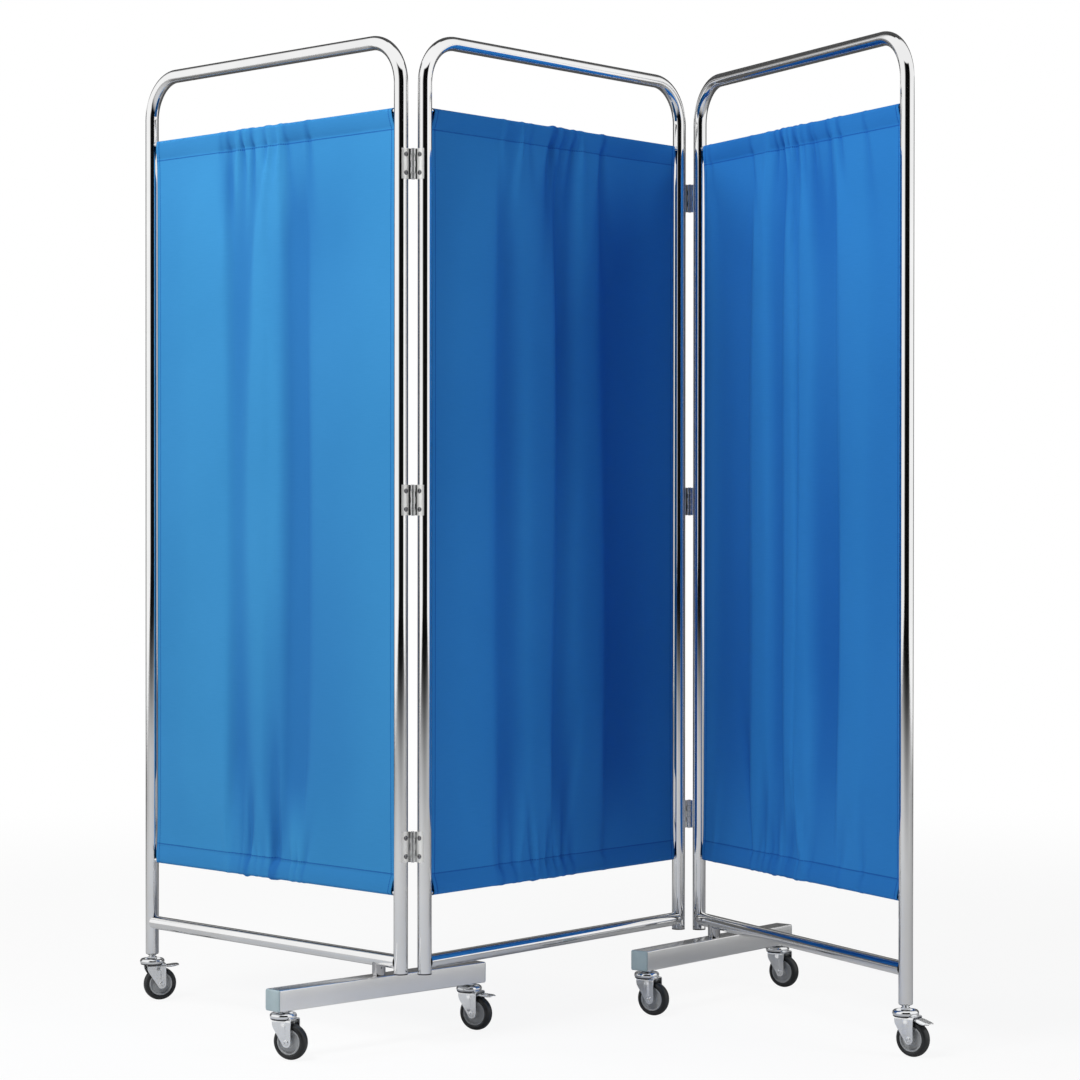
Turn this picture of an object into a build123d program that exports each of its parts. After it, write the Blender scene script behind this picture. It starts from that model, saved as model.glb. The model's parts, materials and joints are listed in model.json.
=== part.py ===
from math import atan2, cos, degrees, hypot, radians, sin, sqrt
import os

from build123d import *

# Three panels of bent steel tube, hinged in a zigzag, each with a cloth between two rods.
# The centre panel runs along X, its middle above the origin, and the floor is at Z zero.
# The left panel folds out on the +Y side and the right panel on the -Y side.

# Panel sizes
overall_height = 1800.0
panel_width = 742.0
tube_diameter = 25.4
tube_wall = 1.2
corner_radius = 79.0
foot_post_exposed = 15.8
upright_foot_gap = 8.5
outer_stem_gap = 13.0

# Panel angles, in degrees, measured inside each fold
left_fold_angle = 83.1
right_fold_angle = 66.1

# Hinges
pivot_outward_gap = 3.3
pivot_sideways_gap = 1.2
leaf_height = 54.0
leaf_gauge = 1.5
leaf_ridge_angle = 46.0
leaf_valley_angle = 52.0
hinge_low = 357.0
hinge_high_drop = 234.0
hinge_middle_share = 0.508
knuckle_radius = 4.2
knuckle_gap = 0.3
hinge_pin_radius = 2.0
hinge_pin_head_radius = 3.4
hinge_pin_head_height = 1.2
web_gauge = 2.4
hinge_screw_spacing = 32.5
hinge_screw_radius = 2.0
hinge_screw_head_radius = 3.3
hinge_screw_head_height = 1.0
hinge_screw_reach = 6.0

# Clearances
running_clearance = 0.05
soft_clearance = 0.3
swivel_gap = 0.6

# Cloth and its rods
cloth_top_drop = 131.2
cloth_crossbar_gap = 115.0
cloth_side_gap = 19.0
cloth_side_draw = 8.0
cloth_gauge = 2.4
hem_depth = 36.5
rod_radius = 4.0
rod_inset = 7.2
rod_reach = 2.6
stud_radius = 5.2
stud_length = 5.6
pocket_gauge = 1.4
fold_depth = 7.0

# Foot bars
foot_length = 476.0
foot_width = 38.0
foot_bottom = 85.5
foot_wall = 2.0
foot_corner = 2.0
foot_post_inset = 60.0
foot_post_radius = 12.0
foot_post_gap = 0.3
foot_pivot_radius = 7.0
foot_pivot_end = 92.0
foot_keeper_radius = 11.0
foot_keeper_gauge = 3.0
foot_stem_inset = 22.0
foot_cap_gauge = 4.0
foot_cap_plug_gauge = 10.0
foot_cap_corner = 3.0
right_foot_turn = 24.5

# Castors
wheel_radius = 31.75
wheel_width = 20.0
tyre_inner_radius = 22.5
tyre_shoulder = 5.0
hub_web_width = 11.0
hub_rim_width = 17.0
hub_rim_radius = 18.5
hub_boss_radius = 8.0
hub_boss_width = 24.0
axle_radius = 3.2
axle_head_radius = 5.0
axle_head_height = 2.2
axle_washer_radius = 7.0
axle_washer_gauge = 0.8
castor_trail = 15.0
fork_plate_bottom = 68.0
fork_gauge = 2.2
fork_front_reach = 20.0
fork_inside = 26.0
fork_boss_radius = 8.5
kingpin_radius = 4.5
kingpin_head_radius = 7.0
kingpin_head_gauge = 2.0
kingpin_bottom = 65.2
race_radius = 21.5
race_edge = 2.4
race_top = 78.0
race_crown_radius = 14.0
stem_radius = 5.0
stem_neck_radius = 7.4
stem_nut_flats = 17.0
stem_nut_gauge = 7.1
stem_reach = 12.0
tube_end_flange = 1.6
tube_end_reach = 16.0

# Brake pedals
pedal_pivot_x = 12.0
pedal_pivot_z = 58.0
pedal_pin_radius = 1.6
pedal_ear_gauge = 1.6
pedal_ear_radius = 4.0
pedal_gauge = 2.0
pedal_root_x = 24.8
pedal_tip_x = 53.0
pedal_top_z = 67.6
pedal_half_width = 12.5
pedal_corner = 5.0
pedal_hole_radius = 5.0
pedal_rib_width = 1.4
pedal_rib_height = 1.0
pedal_drop = 4.0

# Turn of each castor about its stem, in degrees from +X
left_outer_yaw = -30.0
left_foot_near_yaw = -75.0
left_foot_far_yaw = -79.0
right_foot_near_yaw = -82.0
right_foot_far_yaw = -85.0
right_outer_yaw = -87.0

# Folds of the cloth as shares of its width, and how far each one stands out, as shares of the depth
fold_edge_shares = (0.0, 0.10, 0.22, 0.31, 0.38, 0.44, 0.49, 0.54, 0.60, 0.66, 0.74, 0.86, 1.0)
fold_reach_shares = (0.30, -0.45, 0.60, -0.85, 0.90, -1.0, 0.95, -0.90, 0.80, -0.65, 0.45, -0.30)
# Heights of the cloth's cross sections as shares, with the fold depth and the side draw there
level_shares = (0.0, 0.12, 0.5, 0.88, 1.0)
level_depth_shares = (0.12, 0.72, 1.0, 0.80, 0.12)
level_draw_shares = (0.0, 0.75, 1.0, 0.75, 0.0)
rib_shares = (0.3, 0.5, 0.7, 0.9)
side_knuckle_shares = (0, 2, 4)
centre_knuckle_shares = (1, 3)
knuckle_count = 5

tube_radius = tube_diameter / 2
bore_radius = tube_radius - tube_wall
top_axis = overall_height - tube_radius
leaf_radius = tube_radius + leaf_gauge
pivot_outward = tube_radius + pivot_outward_gap
pivot_sideways = tube_radius + pivot_sideways_gap
pivot_distance = hypot(pivot_outward, pivot_sideways)
pivot_angle = degrees(atan2(pivot_sideways, pivot_outward))
half_turn = 180.0
quarter_turn = half_turn / 2
foot_top = foot_bottom + foot_width
foot_stem_spacing = foot_length - 2 * foot_stem_inset
crossbar_height = foot_top + foot_post_exposed + tube_radius
hinge_upright_end = foot_top + upright_foot_gap
outer_upright_end = race_top + outer_stem_gap
cloth_top = overall_height - cloth_top_drop
cloth_bottom = crossbar_height + cloth_crossbar_gap
hinge_high = overall_height - hinge_high_drop
hinge_middle = hinge_low + hinge_middle_share * (hinge_high - hinge_low)
rod_top_axis = cloth_top - rod_inset
rod_bottom_axis = cloth_bottom + rod_inset
fork_plate_top = fork_plate_bottom + fork_gauge
fork_half = fork_inside / 2
fork_outside = fork_half + fork_gauge
fork_back_reach = castor_trail + fork_boss_radius
race_bottom = fork_plate_top + swivel_gap
hinge_heights = (hinge_low, hinge_middle, hinge_high)


def at(shape, x, y, z=0, turn=0):
    """Shape turned about Z and then moved."""
    return Location((x, y, z), (0, 0, turn)) * shape


def rod_between(radius, low, high):
    """Upright round bar between two heights, on the Z axis."""
    return Pos(0, 0, low) * extrude(Circle(radius), amount=high - low)


def lying_bar(radius, low, high, height):
    """Round bar along X between two places."""
    section = Plane(origin=(low, 0, height), x_dir=(0, 1, 0), z_dir=(1, 0, 0)) * Circle(radius)
    return extrude(section, amount=high - low)


def cross_bar(radius, low, high, x, height):
    """Round bar along Y between two places."""
    section = Plane(origin=(x, low, height), x_dir=(1, 0, 0), z_dir=(0, 1, 0)) * Circle(radius)
    return extrude(section, amount=high - low)


def spun(points):
    """Solid of revolution about Z from pairs of radius and height."""
    outline = make_face(Polyline(*[(r, 0, z) for r, z in points], close=True))
    return revolve(outline, axis=Axis.Z)


# Panel frame: one tube bent twice, uprights at X zero and at the panel width
def panel_frame(near_end, far_end):
    path = FilletPolyline((0, 0, near_end), (0, 0, top_axis), (panel_width, 0, top_axis),
                          (panel_width, 0, far_end), radius=corner_radius)
    ring = Circle(tube_radius) - Circle(bore_radius)
    frame = sweep(Pos(0, 0, near_end) * ring, path=path)
    hole = rod_radius + running_clearance
    for height in (rod_top_axis, rod_bottom_axis):
        frame -= lying_bar(hole, 0, tube_diameter, height)
        frame -= lying_bar(hole, panel_width - tube_diameter, panel_width, height)
    return frame


def panel_crossbar():
    bar = lying_bar(tube_radius, 0, panel_width, crossbar_height)
    bar -= lying_bar(bore_radius, 0, panel_width, crossbar_height)
    low = crossbar_height - tube_diameter
    high = crossbar_height + tube_diameter
    for x in (0, panel_width):
        bar -= at(rod_between(tube_radius, low, high), x, 0)
    return bar


# Thin rods that carry the cloth, with a bright stud against each upright
def curtain_rods():
    rods = []
    inner = tube_radius - rod_reach
    for height in (rod_top_axis, rod_bottom_axis):
        rod = lying_bar(rod_radius, inner, panel_width - inner, height)
        stud_end = tube_radius + stud_length
        rod += lying_bar(stud_radius, 0, stud_end, height) - tube_core(0, height)
        far_stud = lying_bar(stud_radius, panel_width - stud_end, panel_width, height)
        rod += far_stud - tube_core(panel_width, height)
        rods.append(rod)
    return rods


def tube_core(x, height):
    return at(rod_between(tube_radius, height - tube_diameter, height + tube_diameter), x, 0)


# Cloth with its main folds, hung between two sewn pockets
def fold_section(height, depth, draw):
    left = cloth_side_gap + draw
    width = panel_width - left - left
    half = cloth_gauge / 2
    places = [left + width * share for share in fold_edge_shares]
    edges = []
    for side in (half, -half):
        for low, high, reach in zip(places, places[1:], fold_reach_shares):
            middle = ((low + high) / 2, reach * depth + side, height)
            edges.append(ThreePointArc((low, side, height), middle, (high, side, height)))
    edges.append(Line((places[0], half, height), (places[0], -half, height)))
    edges.append(Line((places[-1], half, height), (places[-1], -half, height)))
    return make_face(edges)


def cloth_pocket(rod_height, seam_height):
    """Pocket round a rod, tapering to the sheet at its seam."""
    outer = rod_radius + soft_clearance + pocket_gauge
    half = cloth_gauge / 2
    away = seam_height - rod_height
    reach = sqrt(away * away - outer * outer)
    lean = atan2(outer - half, reach)
    touch_y = outer * cos(lean)
    touch_z = rod_height + (outer * sin(lean) if away > 0 else -outer * sin(lean))
    round_end = rod_height - outer if away > 0 else rod_height + outer
    arc = ThreePointArc((0, touch_y, touch_z), (0, 0, round_end), (0, -touch_y, touch_z))
    sides = Polyline((0, -touch_y, touch_z), (0, -half, seam_height), (0, half, seam_height),
                     (0, touch_y, touch_z))
    outline = make_face(arc.edges() + sides.edges())
    width = panel_width - cloth_side_gap - cloth_side_gap
    pocket = extrude(Pos(cloth_side_gap, 0, 0) * outline, amount=width, dir=(1, 0, 0))
    return pocket - lying_bar(rod_radius + soft_clearance, 0, panel_width, rod_height)


def curtain():
    low = cloth_bottom + hem_depth
    high = cloth_top - hem_depth
    levels = []
    for share, depth, draw in zip(level_shares, level_depth_shares, level_draw_shares):
        height = low + (high - low) * share
        levels.append(fold_section(height, depth * fold_depth, draw * cloth_side_draw))
    cloth = loft(levels)
    cloth += cloth_pocket(rod_bottom_axis, low)
    cloth += cloth_pocket(rod_top_axis, high)
    return cloth


# Hinge half on an upright at the origin, which it leaves towards -X, with the pivot on the -Y side
def hinge_half(height, knuckle_shares):
    reach = leaf_radius + leaf_radius
    ridge = radians(half_turn - leaf_ridge_angle)
    valley = radians(half_turn + leaf_valley_angle)
    wedge = make_face(Polyline((0, 0), (reach * cos(ridge), reach * sin(ridge)), (-reach - reach, 0),
                               (reach * cos(valley), reach * sin(valley)), close=True))
    band = (Circle(leaf_radius) - Circle(tube_radius)) & wedge
    leaf = Pos(0, 0, height - leaf_height / 2) * extrude(band, amount=leaf_height)
    step = leaf_height / knuckle_count
    for share in knuckle_shares:
        low = height - leaf_height / 2 + share * step + knuckle_gap / 2
        high = low + step - knuckle_gap
        web_reach = pivot_distance - tube_radius - leaf_gauge / 2
        web = Pos(-web_reach / 2, 0) * Rectangle(web_reach, web_gauge)
        start = tube_radius + leaf_gauge / 2
        web = Rot(0, 0, pivot_angle) * (Pos(-start, 0) * web)
        leaf += Pos(0, 0, low) * extrude(web, amount=high - low)
        leaf += at(rod_between(knuckle_radius, low, high), -pivot_outward, -pivot_sideways)
    bore = rod_between(hinge_pin_radius + running_clearance, height - leaf_height,
                       height + leaf_height)
    leaf -= at(bore, -pivot_outward, -pivot_sideways)
    for screw_height in screw_heights(height):
        leaf -= lying_bar(hinge_screw_radius + running_clearance, -tube_diameter, 0, screw_height)
    return leaf


def screw_heights(height):
    return (height - hinge_screw_spacing / 2, height + hinge_screw_spacing / 2)


def hinge_screw(height):
    """Screw through a leaf and the tube wall, its low head outside."""
    seat = leaf_radius - hinge_screw_head_height / 2
    inner = leaf_radius - hinge_screw_reach
    outer = leaf_radius + hinge_screw_head_height
    head = lying_bar(hinge_screw_head_radius, -outer, -seat, height)
    head -= rod_between(leaf_radius, height - tube_radius, height + tube_radius)
    return head + lying_bar(hinge_screw_radius, -outer + hinge_screw_head_height / 2, -inner, height)


def screw_holes(frame, x, outward):
    """Frame with the holes of one edge's hinge screws."""
    radius = hinge_screw_radius + running_clearance
    for height in hinge_heights:
        for z in screw_heights(height):
            far = x + outward * tube_diameter
            frame -= lying_bar(radius, min(x, far), max(x, far), z)
    return frame


def hinge_pin(height):
    low = height - leaf_height / 2
    high = height + leaf_height / 2
    shank = hinge_pin_radius
    head = hinge_pin_head_radius
    gap = knuckle_gap / 2
    pin = spun([(0, low - hinge_pin_head_height), (head, low - hinge_pin_head_height),
                (head, low - gap), (shank, low - gap), (shank, high + gap), (head, high + gap),
                (head, high + hinge_pin_head_height), (0, high + hinge_pin_head_height)])
    return at(pin, -pivot_outward, -pivot_sideways)


def tube_plug(end_height):
    """Plug in the open end of an upright, with a thin flange outside."""
    flange = rod_between(tube_radius, end_height - tube_end_flange, end_height)
    return flange + rod_between(bore_radius - running_clearance, end_height,
                                end_height + tube_end_reach)


# Post under a crossbar on which a foot bar turns
def foot_post():
    post = rod_between(foot_post_radius, foot_top + foot_post_gap, crossbar_height)
    post -= lying_bar(tube_radius, -tube_diameter, tube_diameter, crossbar_height)
    top_wall = foot_top - foot_wall
    post += rod_between(foot_pivot_radius, foot_pivot_end, foot_top + foot_post_gap)
    keeper_top = top_wall - foot_post_gap
    post += rod_between(foot_keeper_radius, keeper_top - foot_keeper_gauge, keeper_top)
    return post


def foot_bar():
    """Square tube along X with a hole for the post and two for the castor stems."""
    middle = foot_bottom + foot_width / 2
    outer = RectangleRounded(foot_width, foot_width, foot_corner)
    side = foot_width - foot_wall - foot_wall
    section = outer - Rectangle(side, side)
    place = Plane(origin=(-foot_length / 2, 0, middle), x_dir=(0, 1, 0), z_dir=(1, 0, 0))
    bar = extrude(place * section, amount=foot_length)
    bar -= rod_between(foot_pivot_radius + running_clearance, foot_top - foot_width / 2,
                       foot_top + foot_wall)
    for x in (-foot_stem_spacing / 2, foot_stem_spacing / 2):
        hole = rod_between(stem_radius + running_clearance, foot_bottom - foot_wall, middle)
        bar -= at(hole, x, 0)
    return bar


def foot_cap():
    """Rounded plastic cap on the +X end of a foot bar."""
    middle = foot_bottom + foot_width / 2
    place = Plane(origin=(foot_length / 2, 0, middle), x_dir=(0, 1, 0), z_dir=(1, 0, 0))
    cap = extrude(place * RectangleRounded(foot_width, foot_width, foot_corner), amount=foot_cap_gauge)
    face = cap.faces().sort_by(Axis.X)[-1]
    cap = fillet(face.edges(), foot_cap_corner)
    side = foot_width - foot_wall - foot_wall - running_clearance - running_clearance
    plug = extrude(place * Rectangle(side, side), amount=-foot_cap_plug_gauge)
    stem_room = rod_between(stem_radius + foot_wall, foot_bottom - foot_wall, foot_top)
    return cap + (plug - at(stem_room, foot_stem_spacing / 2, 0))


# Fixed upper half of a castor: stem, nut, dished ball race and kingpin
def castor_mount(seat_height, stem_top, stem_size, flange_size):
    nut = extrude(RegularPolygon(stem_nut_flats / 2, 6, major_radius=False), amount=stem_nut_gauge)
    mount = spun([(0, kingpin_bottom), (kingpin_head_radius, kingpin_bottom),
                  (kingpin_head_radius, kingpin_bottom + kingpin_head_gauge),
                  (kingpin_radius, kingpin_bottom + kingpin_head_gauge),
                  (kingpin_radius, race_bottom), (race_radius - race_edge / 2, race_bottom),
                  (race_radius, race_bottom + race_edge / 2),
                  (race_radius - race_edge / 2, race_bottom + race_edge),
                  (race_crown_radius, race_top), (0, race_top)])
    mount += Pos(0, 0, race_top) * nut
    neck_low = race_top + stem_nut_gauge
    if flange_size > 0:
        mount += spun([(0, neck_low), (stem_neck_radius, neck_low),
                       (flange_size, seat_height), (stem_size, seat_height),
                       (stem_size, stem_top), (0, stem_top)])
    else:
        mount += rod_between(stem_size, neck_low, stem_top)
    return mount


def outer_mount():
    return castor_mount(outer_upright_end, outer_upright_end + tube_end_reach,
                        bore_radius - running_clearance, tube_radius)


def foot_mount():
    return castor_mount(foot_bottom, foot_bottom + stem_reach, stem_radius, 0)


# Pressed fork: a round plate carried back over the wheel, and two tapering legs
def castor_fork(pedal):
    front = Circle(fork_front_reach)
    wide = fork_outside + fork_outside
    back = Pos(fork_back_reach / 2, 0) * Rectangle(fork_back_reach, wide)
    plate = Pos(0, 0, fork_plate_bottom) * extrude(front + back, amount=fork_gauge)
    plate -= rod_between(kingpin_radius + running_clearance, 0, race_top)
    away_x = castor_trail + fork_front_reach
    away_z = fork_plate_bottom - wheel_radius
    spread = hypot(away_x, away_z)
    lean = atan2(away_x, away_z)
    wrap = atan2(fork_boss_radius, sqrt(spread * spread - fork_boss_radius * fork_boss_radius))
    turn = lean + wrap
    touch_x = castor_trail - fork_boss_radius * cos(turn)
    touch_z = wheel_radius - fork_boss_radius * sin(turn)
    top = fork_plate_top - fork_gauge / 2
    corners = [(-fork_front_reach, top), (fork_back_reach, top), (fork_back_reach, wheel_radius),
               (castor_trail, wheel_radius), (touch_x, touch_z), (-fork_front_reach, fork_plate_bottom)]
    outline = make_face(Polyline(*[(x, 0, z) for x, z in corners], close=True))
    side = extrude(outline, amount=fork_gauge, dir=(0, 1, 0))
    side += cross_bar(fork_boss_radius, 0, fork_gauge, castor_trail, wheel_radius)
    side -= cross_bar(axle_radius + running_clearance, 0, fork_gauge, castor_trail, wheel_radius)
    if pedal:
        side -= cross_bar(pedal_pin_radius + running_clearance, 0, fork_gauge,
                          pedal_pivot_x, pedal_pivot_z)
    # The legs' top corners follow the plate's outline
    keep = extrude(front + back, amount=fork_plate_top)
    fork = plate
    for y in (fork_half, -fork_outside):
        fork += Pos(0, y, 0) * side & keep
    return fork


def castor_axle():
    inner = fork_outside
    washer = inner + axle_washer_gauge
    head = washer + axle_head_height
    axle = cross_bar(axle_radius, -head, head, castor_trail, wheel_radius)
    for low, high in ((inner, washer), (-washer, -inner)):
        axle += cross_bar(axle_washer_radius, low, high, castor_trail, wheel_radius)
    for low, high in ((washer, head), (-head, -washer)):
        axle += cross_bar(axle_head_radius, low, high, castor_trail, wheel_radius)
    return axle


def on_axle(shape):
    """Shape of revolution made about Z, laid on the axle."""
    return Pos(castor_trail, 0, wheel_radius) * (Rot(quarter_turn, 0, 0) * shape)


def mirrored_profile(half):
    return half + [(r, -z) for r, z in reversed(half)]


def wheel_hub():
    bore = axle_radius + running_clearance
    boss = hub_boss_width / 2
    web = hub_web_width / 2
    rim = hub_rim_width / 2
    half = [(bore, boss), (hub_boss_radius - axle_washer_gauge, boss), (hub_boss_radius, web),
            (hub_rim_radius, web), (hub_rim_radius + axle_washer_gauge, rim),
            (tyre_inner_radius, rim)]
    return on_axle(spun(mirrored_profile(half)))


def wheel_tyre():
    half_width = wheel_width / 2
    shoulder = wheel_radius - tyre_shoulder
    crown = Polyline((tyre_inner_radius, 0, half_width), (shoulder, 0, half_width))
    tread = ThreePointArc((shoulder, 0, half_width), (wheel_radius, 0, 0), (shoulder, 0, -half_width))
    rest = Polyline((shoulder, 0, -half_width), (tyre_inner_radius, 0, -half_width),
                    (tyre_inner_radius, 0, half_width))
    outline = make_face(crown.edges() + tread.edges() + rest.edges())
    return on_axle(revolve(outline, axis=Axis.Z))


# Brake pedal: two ears inside the fork and a plate out over the wheel
def brake_pedal(kind):
    outer = fork_half - soft_clearance
    inner = outer - pedal_ear_gauge
    plate_low = pedal_top_z - pedal_gauge
    reach = pedal_tip_x - pedal_root_x
    middle = (pedal_root_x + pedal_tip_x) / 2
    blade = Pos(middle, 0) * RectangleRounded(reach, pedal_half_width + pedal_half_width, pedal_corner)
    if kind == "looped":
        blade -= Pos(middle, 0) * SlotOverall(reach - pedal_corner - pedal_corner,
                                              pedal_hole_radius + pedal_hole_radius)
    plate = Pos(0, 0, plate_low) * extrude(blade, amount=pedal_gauge)
    if kind == "ribbed":
        for share in rib_shares:
            rib = Rectangle(pedal_rib_width, pedal_half_width + pedal_corner)
            rib = Pos(pedal_root_x + reach * share, 0, pedal_top_z) * rib
            plate += extrude(rib, amount=pedal_rib_height)
    ear = make_face(Polyline(
        (pedal_pivot_x - pedal_ear_radius * cos(radians(leaf_ridge_angle)), 0,
         pedal_pivot_z + pedal_ear_radius * sin(radians(leaf_ridge_angle))),
        (pedal_root_x - fork_gauge, 0, pedal_top_z - fork_gauge), (pedal_root_x, 0, pedal_top_z),
        (pedal_root_x + pedal_corner, 0, pedal_top_z), (pedal_root_x + pedal_corner, 0, plate_low),
        (pedal_pivot_x, 0, pedal_pivot_z - pedal_ear_radius), close=True))
    ear = extrude(ear, amount=pedal_ear_gauge, dir=(0, 1, 0))
    ear += cross_bar(pedal_ear_radius, 0, pedal_ear_gauge, pedal_pivot_x, pedal_pivot_z)
    pedal = plate + Pos(0, inner, 0) * ear + Pos(0, -outer, 0) * ear
    for low, high in ((inner, fork_outside), (-fork_outside, -inner)):
        pedal += cross_bar(pedal_pin_radius, low, high, pedal_pivot_x, pedal_pivot_z)
    return pedal


# Where things stand in the whole screen
left_pivot = (-panel_width / 2 - pivot_outward, pivot_sideways)
right_pivot = (panel_width / 2 + pivot_outward, -pivot_sideways)


def on_side(shape, pivot, direction):
    """Shape of a side panel, made with its hinge upright at the origin, put in its place."""
    return at(at(shape, pivot_outward, pivot_sideways), pivot[0], pivot[1], 0, direction)


def side_point(x, pivot, direction):
    along = pivot_outward + x
    turn = radians(direction)
    return (pivot[0] + along * cos(turn) - pivot_sideways * sin(turn),
            pivot[1] + along * sin(turn) + pivot_sideways * cos(turn))


nodes = {}


def add_centre_panel():
    shift = -panel_width / 2
    frame = panel_frame(hinge_upright_end, hinge_upright_end)
    frame = screw_holes(frame, 0, -1)
    frame = screw_holes(frame, panel_width, 1)
    nodes["centre_frame"] = [at(frame, shift, 0)]
    nodes["centre_crossbar"] = [at(panel_crossbar(), shift, 0)]
    nodes["centre_curtain_rods"] = [at(rod, shift, 0) for rod in curtain_rods()]
    nodes["centre_curtain"] = [at(curtain(), shift, 0)]
    leaves, screws = [], []
    for height in hinge_heights:
        leaf = mirror(hinge_half(height, centre_knuckle_shares), about=Plane.XZ)
        leaves += [at(leaf, shift, 0), at(leaf, -shift, 0, 0, half_turn)]
        for z in screw_heights(height):
            screws += [at(hinge_screw(z), shift, 0), at(hinge_screw(z), -shift, 0, 0, half_turn)]
    nodes["centre_hinge_leaves"] = leaves
    nodes["centre_hinge_screws"] = screws
    plug = tube_plug(hinge_upright_end)
    nodes["centre_tube_plugs"] = [at(plug, shift, 0), at(plug, -shift, 0)]


def add_side_panel(side, pivot, direction):
    def put(shape):
        return on_side(shape, pivot, direction)

    frame = screw_holes(panel_frame(hinge_upright_end, outer_upright_end), 0, -1)
    nodes[side + "_frame"] = [put(frame)]
    nodes[side + "_crossbar"] = [put(panel_crossbar())]
    nodes[side + "_curtain_rods"] = [put(rod) for rod in curtain_rods()]
    nodes[side + "_curtain"] = [put(curtain())]
    nodes[side + "_hinge_leaves"] = [put(hinge_half(z, side_knuckle_shares)) for z in hinge_heights]
    nodes[side + "_hinge_pins"] = [put(hinge_pin(z)) for z in hinge_heights]
    screws = [put(hinge_screw(z)) for height in hinge_heights for z in screw_heights(height)]
    nodes[side + "_hinge_screws"] = screws
    nodes[side + "_tube_plug"] = [put(tube_plug(hinge_upright_end))]
    nodes[side + "_foot_post"] = [put(Pos(foot_post_inset, 0, 0) * foot_post())]
    nodes[side + "_outer_castor_mount"] = [put(Pos(panel_width, 0, 0) * outer_mount())]


def add_foot(side, place, direction):
    x, y = place
    nodes[side + "_foot_bar"] = [at(foot_bar(), x, y, 0, direction)]
    cap = foot_cap()
    nodes[side + "_foot_caps"] = [at(cap, x, y, 0, direction), at(cap, x, y, 0, direction + half_turn)]
    mounts = []
    for stem in foot_stems(place, direction):
        mounts.append(at(foot_mount(), stem[0], stem[1], 0, direction))
    nodes[side + "_foot_castor_mounts"] = mounts


def foot_stems(place, direction):
    turn = radians(direction)
    dx = foot_stem_spacing / 2 * cos(turn)
    dy = foot_stem_spacing / 2 * sin(turn)
    return [(place[0] - dx, place[1] - dy), (place[0] + dx, place[1] + dy)]


def add_castor(name, stem, yaw, pedal=""):
    shapes = {"fork": castor_fork(pedal != ""), "axle": castor_axle(), "hub": wheel_hub(),
              "tyre": wheel_tyre()}
    if pedal:
        shapes["brake_pedal"] = brake_pedal(pedal)
    for part, shape in shapes.items():
        nodes[name + "_" + part] = [at(shape, stem[0], stem[1], 0, yaw)]


# Directions in the whole screen, in degrees from +X
left_direction = left_fold_angle
right_direction = half_turn + right_fold_angle
left_foot_direction = left_direction - quarter_turn
right_foot_direction = right_direction + quarter_turn + right_foot_turn

add_centre_panel()
add_side_panel("left", left_pivot, left_direction)
add_side_panel("right", right_pivot, right_direction)
left_post = side_point(foot_post_inset, left_pivot, left_direction)
right_post = side_point(foot_post_inset, right_pivot, right_direction)
add_foot("left", left_post, left_foot_direction)
add_foot("right", right_post, right_foot_direction)
left_stems = foot_stems(left_post, left_foot_direction)
right_stems = foot_stems(right_post, right_foot_direction)
left_outer = side_point(panel_width, left_pivot, left_direction)
right_outer = side_point(panel_width, right_pivot, right_direction)

add_castor("left_outer_castor", left_outer, left_outer_yaw, "plain")
add_castor("left_foot_far_castor", left_stems[1], left_foot_far_yaw, "looped")
add_castor("left_foot_near_castor", left_stems[0], left_foot_near_yaw)
add_castor("right_foot_near_castor", right_stems[0], right_foot_near_yaw)
add_castor("right_foot_far_castor", right_stems[1], right_foot_far_yaw)
add_castor("right_outer_castor", right_outer, right_outer_yaw, "ribbed")

os.makedirs("parts", exist_ok=True)
for name, shapes in nodes.items():
    solids = [solid for shape in shapes for solid in shape.solids()]
    whole = solids[0] if len(solids) == 1 else Compound(children=solids)
    export_step(whole, "parts/" + name + ".step")
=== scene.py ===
import json
from math import atan2, cos, hypot, pi, radians, sin, sqrt

import bmesh
import bpy
import numpy as np
from mathutils import Matrix, Vector


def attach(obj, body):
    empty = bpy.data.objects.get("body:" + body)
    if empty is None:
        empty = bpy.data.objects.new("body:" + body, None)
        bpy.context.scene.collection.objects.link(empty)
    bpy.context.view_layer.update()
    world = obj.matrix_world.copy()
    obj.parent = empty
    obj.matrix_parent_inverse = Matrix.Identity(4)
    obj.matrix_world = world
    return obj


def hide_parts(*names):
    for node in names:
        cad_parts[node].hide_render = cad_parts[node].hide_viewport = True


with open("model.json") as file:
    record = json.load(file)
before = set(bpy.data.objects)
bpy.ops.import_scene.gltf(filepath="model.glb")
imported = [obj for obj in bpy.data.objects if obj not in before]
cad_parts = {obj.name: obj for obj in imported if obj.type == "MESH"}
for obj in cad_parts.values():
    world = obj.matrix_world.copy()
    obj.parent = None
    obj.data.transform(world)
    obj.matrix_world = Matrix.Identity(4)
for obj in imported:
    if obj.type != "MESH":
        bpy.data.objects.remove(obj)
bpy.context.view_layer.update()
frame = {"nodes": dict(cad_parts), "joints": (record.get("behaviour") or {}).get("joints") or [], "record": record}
joints = {joint["name"]: joint for joint in frame["joints"]}

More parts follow.
